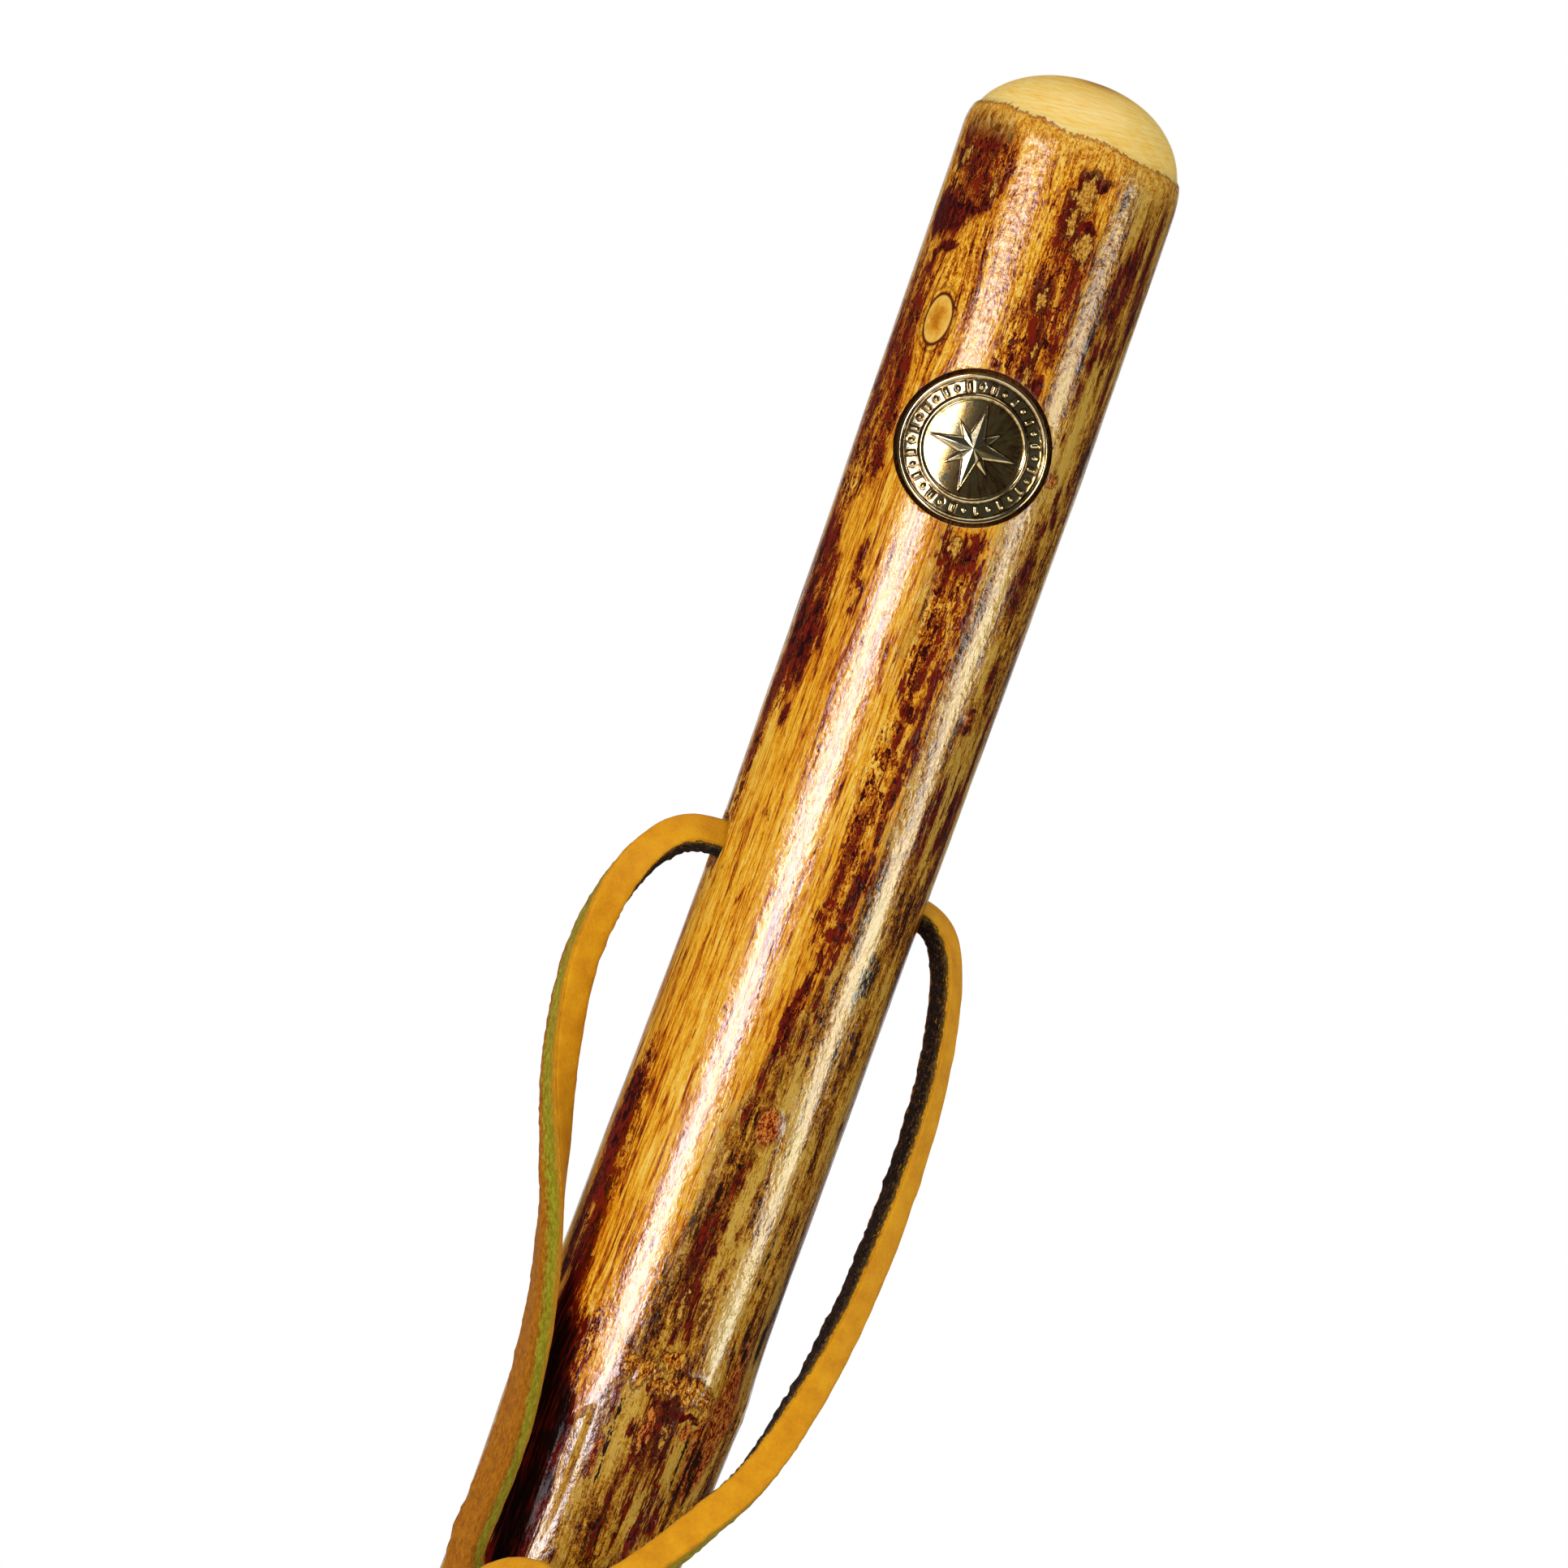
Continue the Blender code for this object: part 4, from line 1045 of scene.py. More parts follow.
    # Lichen, cork and amber patches, each with a darker rim round it
    lichen_tone = speck.spread(1.2) + fleck.spread(0.9) + 0.5
    lichen = s.ramp(lichen_tone, (0.15, 134, 70, 9), (0.5, 200, 138, 38), (0.8, 228, 180, 84))
    cork_tone = speck.spread(1.3) + fleck.spread(1.6) + 0.42
    cork = s.ramp(cork_tone, (0.1, 84, 16, 2), (0.35, 164, 84, 12), (0.6, 210, 142, 32), (0.85, 234, 182, 76))
    amber_tone = speck.spread(1.2) + fleck.spread(1.8) + 0.5
    amber = s.ramp(amber_tone, (0.15, 78, 7, 1), (0.38, 146, 48, 8), (0.6, 190, 98, 28), (0.85, 216, 140, 58))
    for name, wobble, rim, rim_colour, edge, patch in (
        ("lichen", 1.3, (-0.55, -0.3, 0.0, 0.85), (84, 20, 4), (-0.1, 0.08), lichen),
        ("cork", 1.1, (-0.45, -0.2, 0.0, 0.8), (88, 22, 2), (-0.15, 0.1), cork),
        ("amber", 1.2, (-0.3, -0.1, 0.0, 0.6), (96, 14, 2), (-0.1, 0.15), amber),
    ):
        field = s.attribute(name) + fleck.spread(wobble)
        colour = s.mix(field.step(*rim), colour, seen(*rim_colour))
        colour = s.mix(field.step(*edge), colour, patch)
    colour = s.mix(crack.step(-0.05, 0.05), colour, seen(40, 18, 5))

    # The branch knot
    knot_tone = knot + fleck.spread(0.7)
    knot_colour = s.ramp(knot_tone, (0.1, 190, 112, 14), (0.45, 224, 154, 36), (0.85, 246, 196, 84))
    colour = s.mix(knot.step(1.03, 0.97), colour, knot_colour)
    ring = knot.step(0.90, 0.98) * knot.step(1.13, 1.04)
    outer_ring = knot.step(1.2, 1.26) * knot.step(1.38, 1.3, 0.0, 0.5)
    colour = s.mix(ring.at_least(outer_ring), colour, seen(92, 36, 6))

    # The peeled dome, and the ochre band and the thin dark line under it
    pith = s.attribute("pith")
    turned_wood = s.add("CombineXYZ", {0: pith, 1: broad * 0.6}).outputs[0]
    rings = s.noise(s.scaled(turned_wood, (3.0, 1.0, 1.0)), 1.0, 2.0, 0.7)
    scratches = s.grained(0.5, 9.0, 3.0, 0.6)
    pale_tone = rings.spread(0.35) + scratches.spread(0.7) + pith.step(3.0, 9.0, 0.42, 0.60)
    pale = s.ramp(
        pale_tone, (0.1, 232, 148, 48), (0.35, 253, 195, 84), (0.55, 255, 213, 108), (0.8, 255, 229, 148)
    )
    # Darker brown at the dome's very top, a little right of its middle
    pale = s.mix(s.attribute("dark_dome_top") * 0.95, pale, seen(168, 98, 22))
    ochre = s.ramp(
        dots + worms * 1.2 + 0.55,
        (0.1, 172, 92, 14),
        (0.4, 224, 150, 36),
        (0.65, 244, 188, 66),
        (0.9, 253, 214, 118),
    )
    colour = s.mix(peeled.step(-5.5, -0.6, 0.0, 0.8), colour, ochre)
    colour = s.mix(peeled.step(-0.14, 0.04), colour, pale)
    edge_line = peeled.step(-0.42, -0.2) * peeled.step(0.05, -0.1, 0.0, 0.65)
    colour = s.mix(edge_line, colour, seen(146, 76, 20))

    # Cut wood in the recess, the hole and the tenon
    cut_colour = s.ramp(thread, (0.35, 112, 58, 24), (0.6, 186, 126, 70))
    colour = s.mix(inner.step(0.12, 0.3), colour, cut_colour)

    # Roughness, shine and fine relief, in millimetres
    pebble = s.grained(1.5, 1.0, 2.0, 0.5)
    grooves = (dark_worm * -0.03 + bark_lines * -0.03) * barky + fine_lines * -0.012
    height = pebble * 0.05 + thread * 0.05 + speck * 0.04 + grooves + crack.step(-0.1, 0.1) * -0.08
    soft_top = peeled.step(-0.1, 0.1, 1.0, 0.25)
    crinkle = (pale_worm * 0.012 - dark_worm * 0.016) * pale_highlight_strip.fade(0.22, 0.1)
    varnish = pebble * 0.052 + thread * 0.006 + crinkle
    dull = s.attribute("dull").at_least(s.attribute("cork") - 0.3)
    gloss = inner.at_least(peeled * 0.25).step(0.0, 0.4, 1.0, 0.35)
    return s.finish(
        Base_Color=colour,
        Roughness=fleck.step(0.3, 0.7, 0.5, 0.65),
        Specular_IOR_Level=0.02,
        Normal=s.bump(height * soft_top, BUMP_UNIT, 1.0),
        Coat_Weight=gloss * core.fade(1.0, 0.1).at_most(dull.step(-0.6, 0.6, 1.0, 0.3)),
        Coat_Roughness=0.11,
        Coat_IOR=1.75,
        Coat_Normal=s.bump(varnish * soft_top, BUMP_UNIT, 1.0),
    )


def brass_material():
    """Antique brass: brushed outwards from the middle, with dark patina in its low places, and painted light
    and shade across its field.
    """
    s = Shader("antique_brass_worn")
    here = s.here()
    brushed = s.noise(s.vector("ray"), 1.0, 4.0, 0.65)
    cloud = s.noise(here, 0.4, 4.0, 0.6)
    speck = s.noise(here, 5.0, 3.0, 0.6)
    tone = s.attribute("low") + (cloud.spread(0.5) + brushed.spread(0.7))
    colour = s.ramp(
        tone, (0.05, 254, 238, 184), (0.3, 242, 208, 112), (0.55, 160, 112, 42), (0.85, 24, 8, 3)
    )
    return s.finish(
        Base_Color=colour,
        Metallic=1.0,
        Roughness=(tone + speck.spread(0.4)).fade(0.12, 0.32),
        Normal=s.bump(brushed * 0.006 + cloud * 0.02, BUMP_UNIT, 1.0),
        Coat_Weight=0.8,
        Coat_Roughness=0.22,
        Coat_IOR=1.8,
    )


def leather_material():
    """Golden lace leather: smooth on top, suede below, with its olive core showing on the outer cut edge, and
    the inner cut edge nearly black, partly a darker stain and partly painted shade.
    """
    s = Shader("golden_lace_leather")
    across, up, _ = s.parts(s.vector("lace"))
    here = s.here()
    pebble = s.noise(here, 2.4, 4.0, 0.6)
    cloud = s.noise(here, 0.35, 3.0, 0.5)
    fibre = s.noise(s.scaled(s.vector("lace"), (3.4, 3.4, 1.3)), 1.0, 5.0, 0.7)
    top = s.ramp(cloud * 0.7 + pebble * 0.3, (0.3, 212, 138, 4), (0.5, 230, 158, 6), (0.7, 242, 176, 16))
    suede = s.ramp(fibre, (0.3, 138, 76, 2), (0.5, 178, 108, 5), (0.7, 204, 134, 18))
    core = s.ramp(fibre, (0.3, 104, 92, 8), (0.5, 160, 150, 20), (0.7, 192, 184, 62))
    gold_rim = s.ramp(fibre, (0.3, 176, 118, 14), (0.7, 206, 152, 40))
    # Painted shade with a darker stain: the inner cut edge, which faces into the loop, is nearly black
    dark_and_shaded_edge = s.ramp(fibre, (0.34, 6, 1, 1), (0.5, 18, 6, 2), (0.62, 70, 40, 10), (0.74, 144, 114, 54))
    dull = s.ramp(fibre, (0.34, 44, 24, 8), (0.52, 104, 76, 24), (0.7, 158, 124, 54))
    wavy = up + fibre.spread(1.3)
    outer = s.mix(wavy.step(-0.75, -0.45), suede, core)
    outer = s.mix(wavy.step(0.7, 0.95), outer, gold_rim)
    inner = s.mix(wavy.step(0.4, 1.3, 0.0, 0.8), dark_and_shaded_edge, dull)
    edge = s.mix(across.step(-0.5, 0.5), outer, inner)
    face = s.mix(up.step(-0.2, 0.2), suede, top)
    sideways = s.math("ABSOLUTE", across) + fibre.spread(0.4)
    height = pebble * 0.10 + fibre * up.step(1.52, 1.35) * 0.30
    return s.finish(
        Base_Color=s.mix(sideways.step(2.02, 2.12), face, edge),
        Roughness=up.step(1.3, 1.55, 0.9, 0.55),
        Specular_IOR_Level=0.2,
        Normal=s.bump(height, BUMP_UNIT, 1.0),
        Sheen_Weight=0.04,
        Sheen_Roughness=0.5,
    )


def rubber_material():
    """Black moulded rubber with a fine bloom of dust."""
    s = Shader("black_moulded_rubber")
    dust = s.noise(s.here(), 0.25, 5.0, 0.6)
    pores = s.noise(s.here(), 3.0, 3.0, 0.6)
    return s.finish(
        Base_Color=s.ramp(dust, (0.35, 22, 22, 23), (0.6, 36, 35, 34), (0.8, 58, 55, 50)),
        Roughness=dust.step(0.3, 0.7, 0.55, 0.75),
        Normal=s.bump(pores, 0.12 * BUMP_UNIT, 0.6),
    )


def steel_material():
    """Zinc-plated steel with fine turning marks."""
    s = Shader("zinc_plated_steel")
    marks = s.noise(s.scaled(s.here(), (0.6, 0.6, 9.0)), 1.0, 4.0, 0.6)
    bloom = s.noise(s.here(), 0.5, 4.0, 0.6)
    return s.finish(
        Base_Color=s.ramp(bloom, (0.3, 168, 170, 172), (0.6, 204, 205, 206), (0.8, 214, 210, 198)),
        Metallic=1.0,
        Roughness=marks.step(0.3, 0.7, 0.28, 0.42),
        Normal=s.bump(marks, 0.02 * BUMP_UNIT, 0.7),
    )


def glue_material():
    """Set adhesive, cloudy and a little yellow."""
    s = Shader("set_adhesive")
    cloud = s.noise(s.here(), 0.6, 4.0, 0.6)
    return s.finish(
        Base_Color=s.ramp(cloud, (0.3, 206, 196, 160), (0.6, 226, 218, 188), (0.8, 236, 230, 208)),
        Roughness=cloud.step(0.3, 0.7, 0.45, 0.65),
        Normal=s.bump(cloud, 0.2 * BUMP_UNIT, 0.6),
    )


# The lace


def spread_evenly(points, step):
    """Points an even step apart along a line."""
    along = np.concatenate([[0.0], np.cumsum(np.linalg.norm(np.diff(points, axis=0), axis=1))])
    places = np.linspace(0.0, along[-1], round(along[-1] / step) + 1)
    return np.stack([np.interp(places, along, points[:, k]) for k in range(3)], axis=1)


def tie_knot(tops, bottoms):
    """The back and the front strand through one overhand knot, settled until they only touch."""
    spots = []
    for (radius, turn, height), aside, loose in KNOT_LINE:
        angle = math.radians(turn)
        spots.append([radius * math.cos(angle), radius * math.sin(angle), height, *aside, loose])
    spots = np.array(spots)
    spots[:, 3:6] /= np.linalg.norm(spots[:, 3:6], axis=1, keepdims=True)
    strands = []
    for sign, top, bottom in ((-1.0, tops[0], bottoms[0]), (1.0, tops[1], bottoms[1])):
        reach = np.where(sign > 0.0, spots[:, 6:7], 1.0)
        inner = spots[:, :3] + sign * 0.5 * KNOT_APART * spots[:, 3:6] * reach
        strands.append(spread_evenly(np.vstack([[top], inner, [bottom]]), KNOT_STEP))
    for _ in range(KNOT_ROUNDS):
        sizes = [len(strand) for strand in strands]
        ends = np.cumsum([0, *sizes])
        points = np.vstack(strands)
        owner = np.repeat([0, 1], sizes)
        order = np.concatenate([np.arange(size) for size in sizes])
        near = np.abs(order[:, None] - order[None, :]) * KNOT_STEP < 1.6 * KNOT_APART
        skip = near & (owner[:, None] == owner[None, :])
        free = np.ones((len(points), 1))
        free[[0, ends[1] - 1, ends[1], ends[2] - 1]] = 0.0
        middle = points.copy()
        for first, last in zip(ends, ends[1:]):
            part = points[first:last]
            middle[first + 1:last - 1] = 0.5 * (part[:-2] + part[2:])
        points = points + KNOT_PULL * (middle - points) * free
        for _ in range(KNOT_PASSES):
            gap = points[:, None, :] - points[None, :, :]
            apart = np.sqrt((gap**2).sum(axis=2)) + 1e-9
            short = np.where(skip, 0.0, np.clip(KNOT_APART - apart, 0.0, None))
            push = (gap * (short / apart)[:, :, None]).sum(axis=1)
            touching = np.maximum((short > 0.0).sum(axis=1), 1)
            points = points + 0.5 * push / touching[:, None] ** 0.5 * free
        strands = [spread_evenly(points[first:last], KNOT_STEP) for first, last in zip(ends, ends[1:])]
    return strands


def smooth_line(spots, step):
    """Points an even step apart on a smooth curve through spots that each start with their place."""
    padded = np.vstack([2.0 * spots[0] - spots[1], spots, 2.0 * spots[-1] - spots[-2]])
    shares = np.linspace(0.0, 1.0, 24, endpoint=False)[:, None]
    fine = []
    for a, b, c, d in zip(padded, padded[1:], padded[2:], padded[3:]):
        bend = 2.0 * a - 5.0 * b + 4.0 * c - d
        twist = 3.0 * b - a - 3.0 * c + d
        fine.append(0.5 * (2.0 * b + (c - a) * shares + bend * shares**2 + twist * shares**3))
    fine = np.vstack([*fine, padded[-2:-1]])
    along = np.concatenate([[0.0], np.cumsum(np.linalg.norm(np.diff(fine[:, :3], axis=0), axis=1))])
    places = np.linspace(0.0, along[-1], round(along[-1] / step) + 1)
    even = np.stack([np.interp(places, along, fine[:, k]) for k in range(fine.shape[1])], axis=1)
    return even, places


def lace_lines():
    """Both halves of the lace, from the hole out: places, facings, whether those are given, and tightness."""
    centre = np.array(KNOT_CENTRE)
    halves = ((LEFT_STRAND, LEFT_TAIL), (RIGHT_STRAND, RIGHT_TAIL))
    tops = [np.array(strand[-1][0]) - centre for strand, _ in halves]
    bottoms = [np.array(tail[0]) - centre for _, tail in halves]
    made = []
    for (strand, tail), knot in zip(halves, tie_knot(tops, bottoms)):
        for _ in range(2):
            knot[1:-1] = 0.25 * knot[:-2] + 0.5 * knot[1:-1] + 0.25 * knot[2:]
        spots = [[*place, *facing, 1.0, 0.0] for place, facing in strand]
        spots += [[*place, 0.0, 0.0, 0.0, 0.0, 1.0] for place in (knot[1:-1] + centre).tolist()]
        spots += [[*place, 0.0, 0.0, 0.0, 0.0, 0.0] for place in tail]
        made.append(np.array(spots))
    return made


def lace_section(power, half_width, half_height):
    """The lace's section as a rounded rectangle."""
    turns = even_turns(LACE_SIDES)
    reach = (np.abs(np.cos(turns)) ** power + np.abs(np.sin(turns)) ** power) ** (-1.0 / power)
    return half_width * reach * np.cos(turns), half_height * reach * np.sin(turns)


def lace_facings(line, facing, given, turned_by):
    """The lace's way ahead and the way that its smooth side faces, carried on where it isn't given."""
    ahead = np.gradient(line, axis=0)
    ahead /= np.linalg.norm(ahead, axis=1, keepdims=True)
    for k in range(len(line)):
        if given[k] < 0.999:
            facing[k] = facing[k - 1]
        facing[k] -= (facing[k] @ ahead[k]) * ahead[k]
        facing[k] /= np.linalg.norm(facing[k])
    return ahead, facing * np.cos(turned_by) + np.cross(ahead, facing) * np.sin(turned_by)


def build_lace(name, spots, material, pivot, side, twist):
    """Half of the lace, from the hole to its tail. side is -1 where its inner edge is on its left."""
    even, along = smooth_line(spots, LACE_STEP)
    line = even[:, :3]
    tight = np.clip(even[:, 7], 0.0, 1.0)[:, None]
    inside = np.flatnonzero(spots[:, 7] > 0.5)
    for spot in (spots[inside[0] - 1, :3], spots[inside[-1] + 1, :3]):
        away = np.linalg.norm(line - spot, axis=1)[1:-1, None]
        share = 0.5 * np.clip(1.5 - away / 4.5, 0.0, 1.0)
        for _ in range(30):
            line[1:-1] += share * (0.5 * (line[:-2] + line[2:]) - line[1:-1])
    turned_by = math.radians(twist) * smooth(tight, 0.0, 1.0)
    ahead, facing = lace_facings(line, even[:, 3:6], even[:, 6], turned_by)
    inner = side * np.cross(ahead, facing)

    plain_across, plain_up = lace_section(6.0, LACE_WIDTH / 2.0, LACE_THICKNESS / 2.0)
    tight_across, tight_up = lace_section(2.6, *TIGHT_HALVES)
    across = plain_across * (1.0 - tight) + tight_across * tight
    up = plain_up * (1.0 - tight) + tight_up * tight
    outward = across[:, :, None] * inner[:, None, :] + up[:, :, None] * facing[:, None, :]

    flat_across = np.tile(plain_across, len(line))
    flat_up = np.tile(plain_up, len(line))
    flat_along = np.repeat(along, LACE_SIDES)
    rough_spots = np.stack([flat_across * 1.1, flat_up * 1.1, flat_along * 1.3], axis=1)
    rough = gradient_noise(rough_spots, 41)
    wide = gradient_noise(rough_spots * 0.3, 42)
    fibrous = 1.0 - smooth(flat_up, 0.6, 1.5)
    torn = smooth(flat_across, 1.7, 2.15) * fibrous
    push = 0.09 * wide + rough * (0.02 + 0.12 * fibrous + 0.16 * torn)
    push = push.reshape(len(line), LACE_SIDES, 1) / np.linalg.norm(outward, axis=2, keepdims=True)
    line = line + pivot
    rings = line[:, None, :] + outward * (1.0 + push)
    made = stack_piece(name, rings, [line[0], line[-1]], material)

    section = np.stack([flat_across, flat_up, flat_along], axis=1)
    put_vectors(made, "lace", np.vstack([[[0.0, 0.0, 0.0]], section, [[0.0, 0.0, along[-1]]]]))
    return made, [tuple(spot) for spot in (line * MM).tolist()], float(along[-1]) * MM


# The medallion

MEDALLION_SIDES = 360
MEDALLION_RINGS = 65
MEDALLION_BEVEL = 0.12
RIM_START = 9.05
RIM_GROOVE = 8.95
RING_LINE = 6.75
RING_GROOVE = 0.38

# Arms of the star: turn in degrees, length and half width
STAR_ARMS = [(45.0, 4.0, 1.05), (0.0, 5.9, 1.35)]

# Raised bars and lozenges round the star: count, shift in steps, inner end, outer end, half width and taper
RIM_MARKS = [(16, 0.0, 7.42, 8.55, 0.26, 0.0), (16, 0.5, 7.62, 8.35, 0.3, 0.9)]


def bell(value, middle, width):
    """1 at the middle and about 0 more than two widths from it."""
    return np.exp(-(((value - middle) / width) ** 2))


def medallion_relief(x, y):
    """How far the medallion's face stands out, and how low each place is for its patina, with painted light
    and shade making the field lighter on its left and darker on its right.
    """
    radius = np.hypot(x, y)
    turn = np.arctan2(y, x)
    rim = smooth(radius, RIM_START, RIM_START + 0.2)
    height = 0.28 * rim
    low = 0.14 * (1.0 - rim) + 0.1 * rim
    groove = bell(radius, RIM_GROOVE, 0.14)
    low = np.maximum(low, groove)
    height -= 0.08 * groove
    inner_ring = bell(radius, RING_LINE, 0.22)
    height += 0.22 * inner_ring
    low = low * (1.0 - inner_ring) + 0.05 * inner_ring
    for place in (RING_LINE - RING_GROOVE, RING_LINE + RING_GROOVE):
        groove = bell(radius, place, 0.13)
        low = np.maximum(low, 0.95 * groove)
        height -= 0.06 * groove
    for count, shift, inner_end, outer_end, half, taper in RIM_MARKS:
        step = 2.0 * np.pi / count
        reach = 0.5 * (outer_end - inner_end)
        off_middle = np.abs(radius - inner_end - reach)
        away = np.abs((turn - (shift - 0.5) * step) % step - step / 2.0) * radius
        outside = np.maximum(away - half + taper * off_middle / 1.6, off_middle - reach)
        raised = 1.0 - smooth(outside, -0.14, 0.02)
        outline = bell(outside, 0.1, 0.13)
        height += 0.14 * raised - 0.06 * outline
        low = low * (1.0 - raised) + 0.05 * raised
        low = np.maximum(low, 0.8 * outline)
    field = 1.0 - smooth(radius, RING_LINE - 0.45, RING_LINE - 0.3)
    # Painted light and shade: the field's patina runs lighter to its left and darker to its right
    low = low * (1.0 - field) + (0.36 + 0.025 * x) * field
    for offset, length, half in STAR_ARMS:
        quarter = np.pi / 2.0
        local = (turn - math.radians(offset) + quarter / 2.0) % quarter - quarter / 2.0
        ahead = radius * np.cos(local)
        side = np.abs(radius * np.sin(local))
        width = half * np.clip(1.0 - ahead / length, 0.0, 1.0)
        inside = smooth(width - side, 0.0, 0.12)
        ridge = np.clip(1.0 - side / np.maximum(width, 1e-6), 0.0, 1.0)
        star = inside * (0.12 + 0.3 * ridge * np.clip(width / half, 0.0, 1.0))
        low = low * (1.0 - inside) + 0.08 * inside
        height = np.where(inside > 0.0, np.maximum(height, star), height)
        outline = bell(width - side, -0.1, 0.12) * field * (ahead < length)
        low = np.maximum(low, 0.9 * outline * (1.0 - inside))
    return height, low


def build_medallion(material):
    """The brass disc with a compass star, bent about the shaft."""
    turns = even_turns(MEDALLION_SIDES)
    edge = MEDALLION_RADIUS - MEDALLION_BEVEL
    back = [(MEDALLION_RADIUS * share, MEDALLION_THICKNESS) for share in (0.3, 0.6, 0.9)]
    back += [(edge, MEDALLION_THICKNESS), (MEDALLION_RADIUS, MEDALLION_THICKNESS - MEDALLION_BEVEL)]
    back += [(MEDALLION_RADIUS, 0.8), (MEDALLION_RADIUS, -0.14)]
    rings = [bent_point(radius, turns, depth) for radius, depth in back]
    lows = [[0.8], np.full(len(back) * MEDALLION_SIDES, 0.5)]
    for radius in np.linspace(0.0, edge, MEDALLION_RINGS + 1)[:0:-1]:
        height, low = medallion_relief(radius * np.cos(turns), radius * np.sin(turns))
        rings.append(bent_point(radius, turns, -height))
        lows.append(low)
    height, low = medallion_relief(np.zeros(1), np.zeros(1))
    ends = [bent_point(0.0, 0.0, MEDALLION_THICKNESS), bent_point(0.0, 0.0, -height[0])]
    made = stack_piece("brass_medallion", rings, ends, material)
    put_values(made, "low", np.concatenate([*lows, low]))

    places = places_of(made)
    up = places[:, 2] - (STAFF_LENGTH - MEDALLION_FROM_TOP)
    across = places[:, 0] - centre_line(MEDALLION_FROM_TOP)[0]
    turn = np.arctan2(up, across)
    brushing = [9.0 * np.cos(turn), 9.0 * np.sin(turn), 0.35 * np.hypot(up, across)]
    put_vectors(made, "ray", np.stack(brushing, axis=1))
    return made


# The ferrule

NECK_RADIUS = 12.75
NECK_FLARE = 1.45
NECK_END = 13.0
BEAD_RADIUS = 13.3
BEAD_HEIGHT = 3.6
GRIP_RINGS = (31.0, 28.0, 25.0, 22.0, 19.0)
GRIP_RING_DEPTH = 0.4
TREAD_GROOVES = (11.5, 6.5)
TREAD_HALF_WIDTH = 0.8
TREAD_DEPTH = 1.2
CORNER_RADIUS = 0.45
FERRULE_SIDES = 96


def rounded(profile, radius, steps=4):
    """A turned profile with each corner rounded off, given as (radius, height) points."""
    made = [profile[0]]
    for before, corner, after in zip(profile, profile[1:], profile[2:]):
        before, corner, after = (np.array(p) for p in (before, corner, after))
        to_before = before - corner
        to_after = after - corner
        reach = min(radius, 0.45 * np.linalg.norm(to_before), 0.45 * np.linalg.norm(to_after))
        start = corner + to_before / np.linalg.norm(to_before) * reach
        end = corner + to_after / np.linalg.norm(to_after) * reach
        for share in np.linspace(0.0, 1.0, steps + 1):
            spot = (1 - share) ** 2 * start + 2 * share * (1 - share) * corner + share**2 * end
            made.append(tuple(spot.tolist()))
    made.append(profile[-1])
    return made


def build_ferrule(material):
    """The rubber cup with a rounded bead, grip rings, a flared foot and tread grooves."""
    bead_end = FERRULE_HEIGHT - BEAD_HEIGHT
    profile = [
        (0.0, FERRULE_FLOOR),
        (SOCKET_RADIUS, FERRULE_FLOOR),
        (SOCKET_RADIUS, FERRULE_HEIGHT),
        (BEAD_RADIUS - 0.6, FERRULE_HEIGHT),
        (BEAD_RADIUS, FERRULE_HEIGHT - 0.6),
        (BEAD_RADIUS, bead_end + 0.6),
        (NECK_RADIUS, bead_end),
    ]
    for height in GRIP_RINGS:
        outer = NECK_RADIUS + NECK_FLARE * (bead_end - height) / (bead_end - NECK_END)
        inner = outer - GRIP_RING_DEPTH
        profile += [(outer, height + 0.75), (inner, height + 0.45)]
        profile += [(inner, height - 0.45), (outer, height - 0.75)]
    profile += [(NECK_RADIUS + NECK_FLARE, NECK_END), (15.0, 10.4)]
    profile += [(FOOT_RADIUS, 7.0), (FOOT_RADIUS, 1.0), (FOOT_RADIUS - 1.0, 0.0)]
    for radius in TREAD_GROOVES:
        outer, inner = radius + TREAD_HALF_WIDTH, radius - TREAD_HALF_WIDTH
        profile += [(outer, 0.0), (outer, TREAD_DEPTH), (inner, TREAD_DEPTH), (inner, 0.0)]
    profile = rounded([*profile, (0.0, 0.0)], CORNER_RADIUS)
    turns = even_turns(FERRULE_SIDES)
    rings = [plain_ring(turns, radius, height) for radius, height in profile[1:-1]]
    ends = [np.array([0.0, 0.0, profile[k][1]]) for k in (0, -1)]
    return stack_piece("moulded_ferrule", rings, ends, material)


# Stage, light and camera. Places and sizes here are in metres, but the floor's drop is in millimetres.

FLOOR_RADII = [0.5, 1.0, 1.5, 2.0, 2.5, 3.0]
FLOOR_DROP = 0.2
FLOOR_SIDES = 64
LAMP_DISTANCE = 3.0
LAMP_CENTRE = (0.005, 0.0)
WHITE = (1.0, 1.0, 1.0)

# Lamps round the staff: name, turn in degrees to the camera's right of the front, height of the middle, own
# height, width, brightness and colour
LAMPS = [
    ("key_top", -32.5, 1.415, 0.23, 1.45, 6.2, (0.98, 0.91, 0.92)),
    ("key_upper", -32.5, 1.205, 0.19, 1.40, 11.2, (0.98, 0.91, 0.93)),
    ("key_lower", -29.5, 0.75, 0.72, 0.90, 12.0, (0.98, 0.91, 0.95)),
    ("side_top", 67.0, 1.43, 0.30, 1.00, 4.6, (1.0, 0.99, 0.84)),
    ("side_strip", 75.0, 1.00, 0.56, 0.72, 7.0, (1.0, 0.99, 0.8)),
]

# The lamp above the staff: its height over the staff's top, its width and its brightness
PANEL_RISE = 1.8
PANEL_WIDTH = 1.5
PANEL_BRIGHTNESS = 1.12


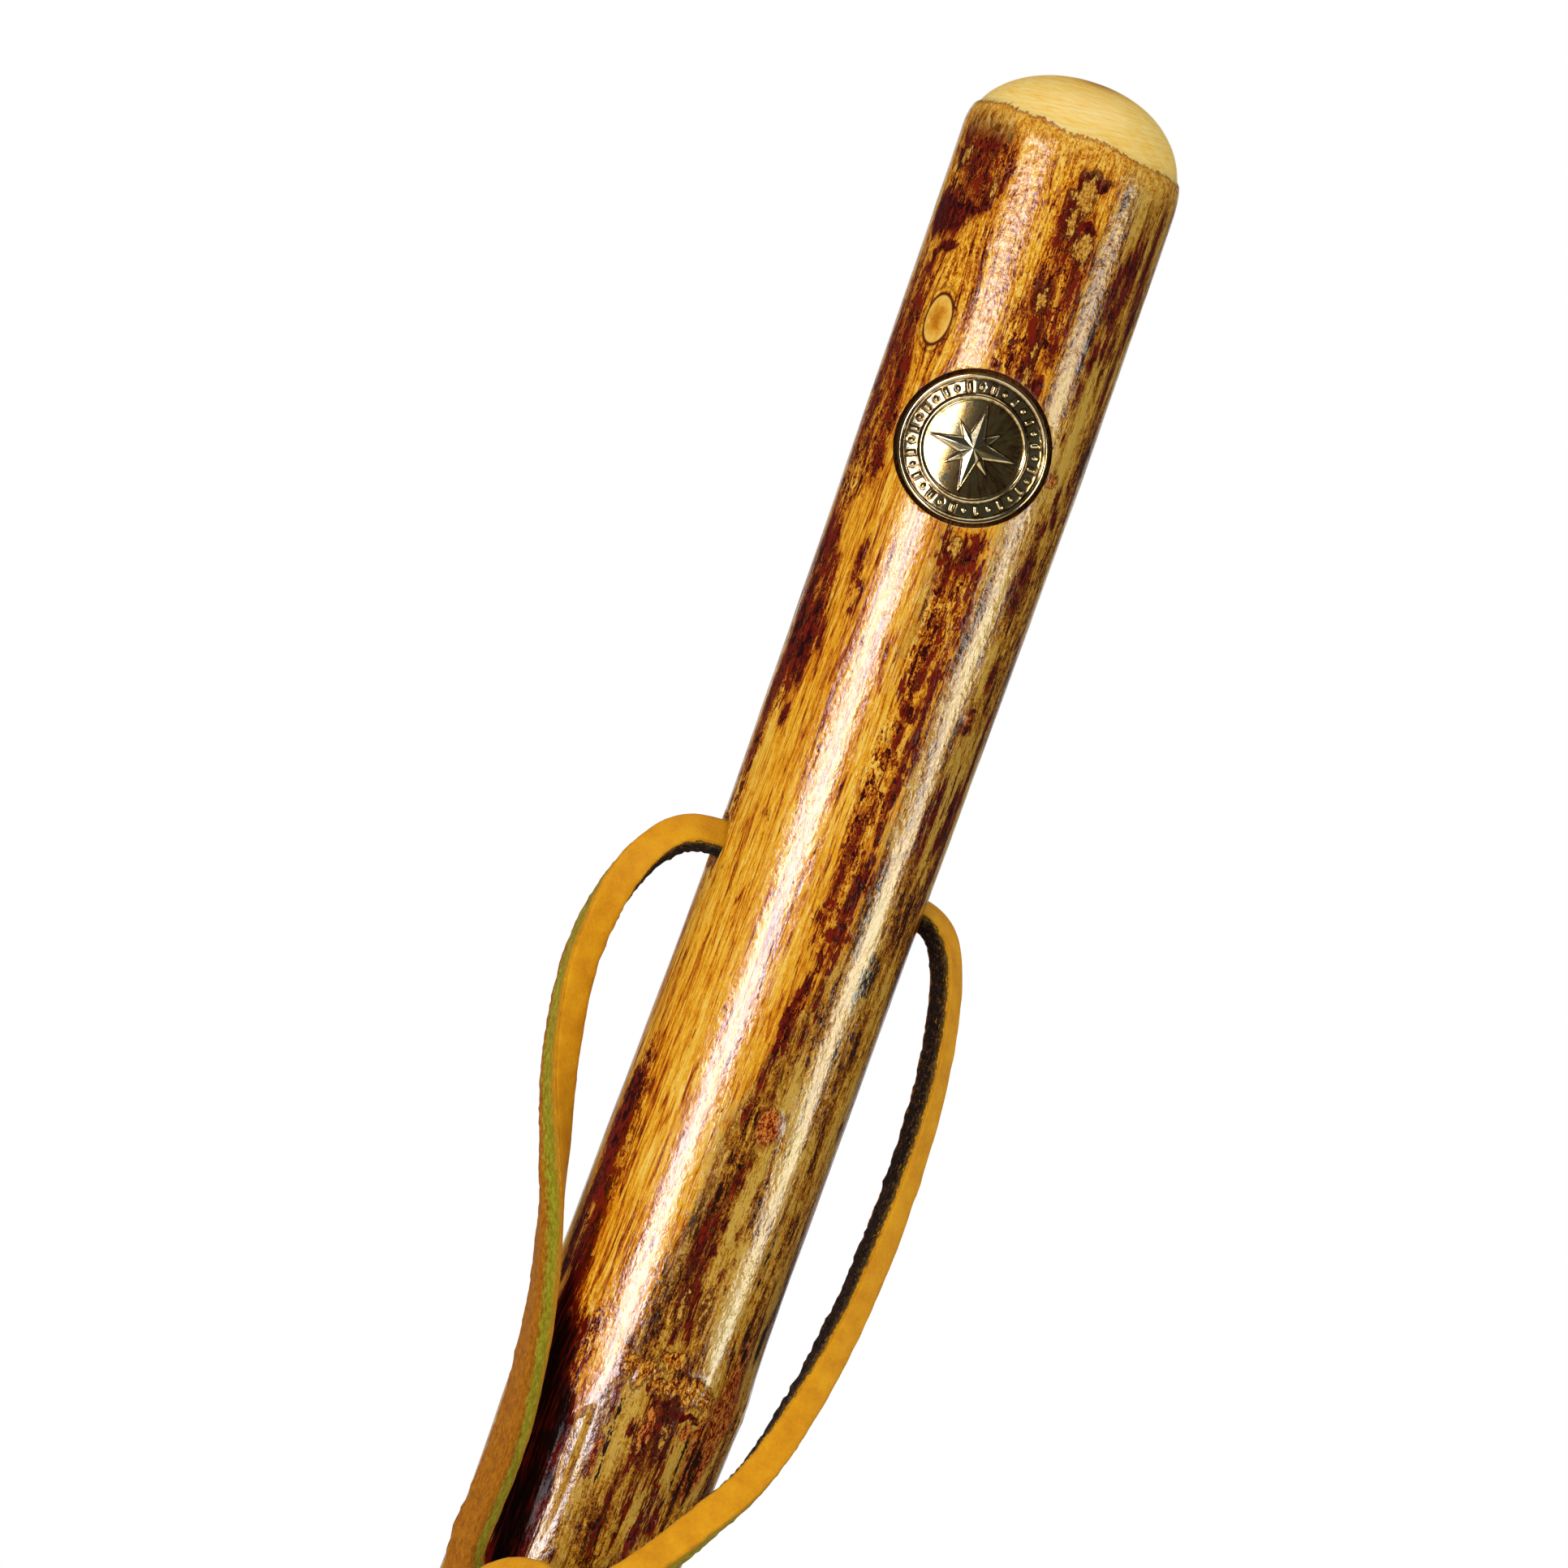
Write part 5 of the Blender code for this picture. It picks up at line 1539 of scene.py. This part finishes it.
def build_floor():
    """A round pale floor that fades out, lit as white for the camera, and keeps the staff's shadow."""
    s = Shader("pale_floor")
    turns = even_turns(FLOOR_SIDES)
    rings = [plain_ring(turns, radius / MM, -FLOOR_DROP) for radius in FLOOR_RADII]
    faces = fan_faces(0, 1, FLOOR_SIDES)
    for k in range(len(rings) - 1):
        faces += ring_faces(1 + (k + 1) * FLOOR_SIDES, 1 + k * FLOOR_SIDES, FLOOR_SIDES)
    made = mesh_piece("floor", np.vstack([[[0.0, 0.0, -FLOOR_DROP]], *rings]), faces, s.material)
    place = s.add("TexCoord").outputs["Object"]
    far = Value(s, s.add("VectorMath", {0: place}, operation="LENGTH").outputs["Value"])
    grain = s.noise(place, 40.0, 4.0, 0.6)
    camera_ray = s.add("LightPath").outputs["Is Camera Ray"]
    s.finish(
        Base_Color=s.ramp(grain, (0.3, 232, 231, 229), (0.7, 240, 239, 237)),
        Roughness=0.85,
        Emission_Color=WHITE,
        Emission_Strength=s.math("MULTIPLY", camera_ray, 0.42),
        Alpha=far.step(0.7 * FLOOR_RADII[-1], 0.98 * FLOOR_RADII[-1], 1.0, 0.0),
    )


def build_lamp(name, height, width, brightness):
    """A soft lamp of the given size, facing down."""
    data = bpy.data.lights.new(name, "AREA")
    data.shape = "RECTANGLE"
    data.size = width
    data.size_y = height
    data.energy = brightness * math.pi * width * height
    holder = bpy.data.objects.new(name, data)
    bpy.context.scene.collection.objects.link(holder)
    return holder


def build_lights():
    """The upright lamps round the staff, and the lamp above it."""
    for name, angle, level, height, width, brightness, colour in LAMPS:
        lamp = build_lamp(name, height, width, brightness)
        lamp.data.color = colour
        turn = math.radians(angle)
        away = Vector((math.sin(turn), -math.cos(turn), 0.0))
        lamp.location = Vector((*LAMP_CENTRE, level)) + LAMP_DISTANCE * away
        lamp.rotation_euler = away.to_track_quat("Z", "Y").to_euler()
    panel = build_lamp("top_panel", PANEL_WIDTH, PANEL_WIDTH, PANEL_BRIGHTNESS)
    panel.location = (0.0, 0.0, STAFF_LENGTH * MM + PANEL_RISE)


def build_world():
    """White for the camera, and a plain studio for the rest, brighter behind than in front."""
    world = bpy.data.worlds.new("studio")
    bpy.context.scene.world = world
    world.use_nodes = True
    world.node_tree.nodes.clear()
    n = Nodes(world.node_tree)
    path = n.add("LightPath").outputs
    _, behind, _ = n.parts(n.add("TexCoord").outputs["Generated"])
    reflected = behind.step(0.92, 0.99, 0.03, 0.8)
    plain = n.add("Background", {"Color": (1.0, 0.99, 0.97), "Strength": 0.47}).outputs[0]
    glossy = n.add("Background", {"Color": WHITE, "Strength": reflected}).outputs[0]
    white = n.add("Background", {"Color": WHITE, "Strength": 1.0}).outputs[0]
    mirrored = n.math("MAXIMUM", path["Is Glossy Ray"], path["Is Transmission Ray"])
    studio = n.add("MixShader", {0: mirrored, 1: plain, 2: glossy}).outputs[0]
    whole = n.add("MixShader", {0: path["Is Camera Ray"], 1: studio, 2: white}).outputs[0]
    n.add("OutputWorld", {"Surface": whole})


def build_camera():
    """The photograph's view: level, close to the grip, and rolled so that the staff leans right."""
    data = bpy.data.cameras.new("camera")
    data.sensor_width = CAMERA_SENSOR
    data.lens = CAMERA_LENS
    holder = bpy.data.objects.new("camera", data)
    bpy.context.scene.collection.objects.link(holder)
    cosine, sine = math.cos(CAMERA_ROLL), math.sin(CAMERA_ROLL)
    right = Vector((cosine, 0.0, sine))
    up = Vector((-sine, 0.0, cosine))
    behind = Vector((0.0, -1.0, 0.0))
    turn = Matrix((right, up, behind)).transposed().to_4x4()
    holder.matrix_world = Matrix.Translation(CAMERA_SPOT) @ turn
    bpy.context.scene.camera = holder
    bpy.context.scene.view_settings.view_transform = "Standard"


def build_lanyard():
    """Both halves of the lace, each a cord that leaves the shaft at its own mouth of the cross hole."""
    swing = next(joint for joint in frame["joints"] if joint["name"] == "lanyard_swing")
    pivot = np.array(swing["pos_m"]) / MM
    leather = leather_material()
    for name, spots, side, twist, tail in zip(
        ("lace_left", "lace_right"),
        lace_lines(),
        (-1.0, 1.0),
        KNOT_TWIST,
        ("lanyard_tail_left", "lanyard_tail_right"),
    ):
        piece, path, length = build_lace(name, spots, leather, pivot, side, twist)
        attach(piece, "lanyard")
        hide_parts("lanyard_loop", "lanyard_knot", tail)


def main():
    """Builds the whole scene."""
    build_camera()
    build_world()
    build_floor()
    build_lights()
    build_lanyard()

    shaft = build_shaft(wood_material())
    cut(shaft, recess_cutter())
    cut(shaft, hole_cutter())
    mark_shaft(shaft)
    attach(shaft, "shaft")
    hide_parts("wooden_shaft")

    medallion = build_medallion(brass_material())
    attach(medallion, "shaft")
    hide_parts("medallion")

    ferrule = build_ferrule(rubber_material())
    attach(ferrule, "ferrule")
    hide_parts("rubber_ferrule")

    for node, material in (("ferrule_washer", steel_material()), ("medallion_adhesive", glue_material())):
        for slot in frame["nodes"][node].material_slots:
            slot.material = material


main()
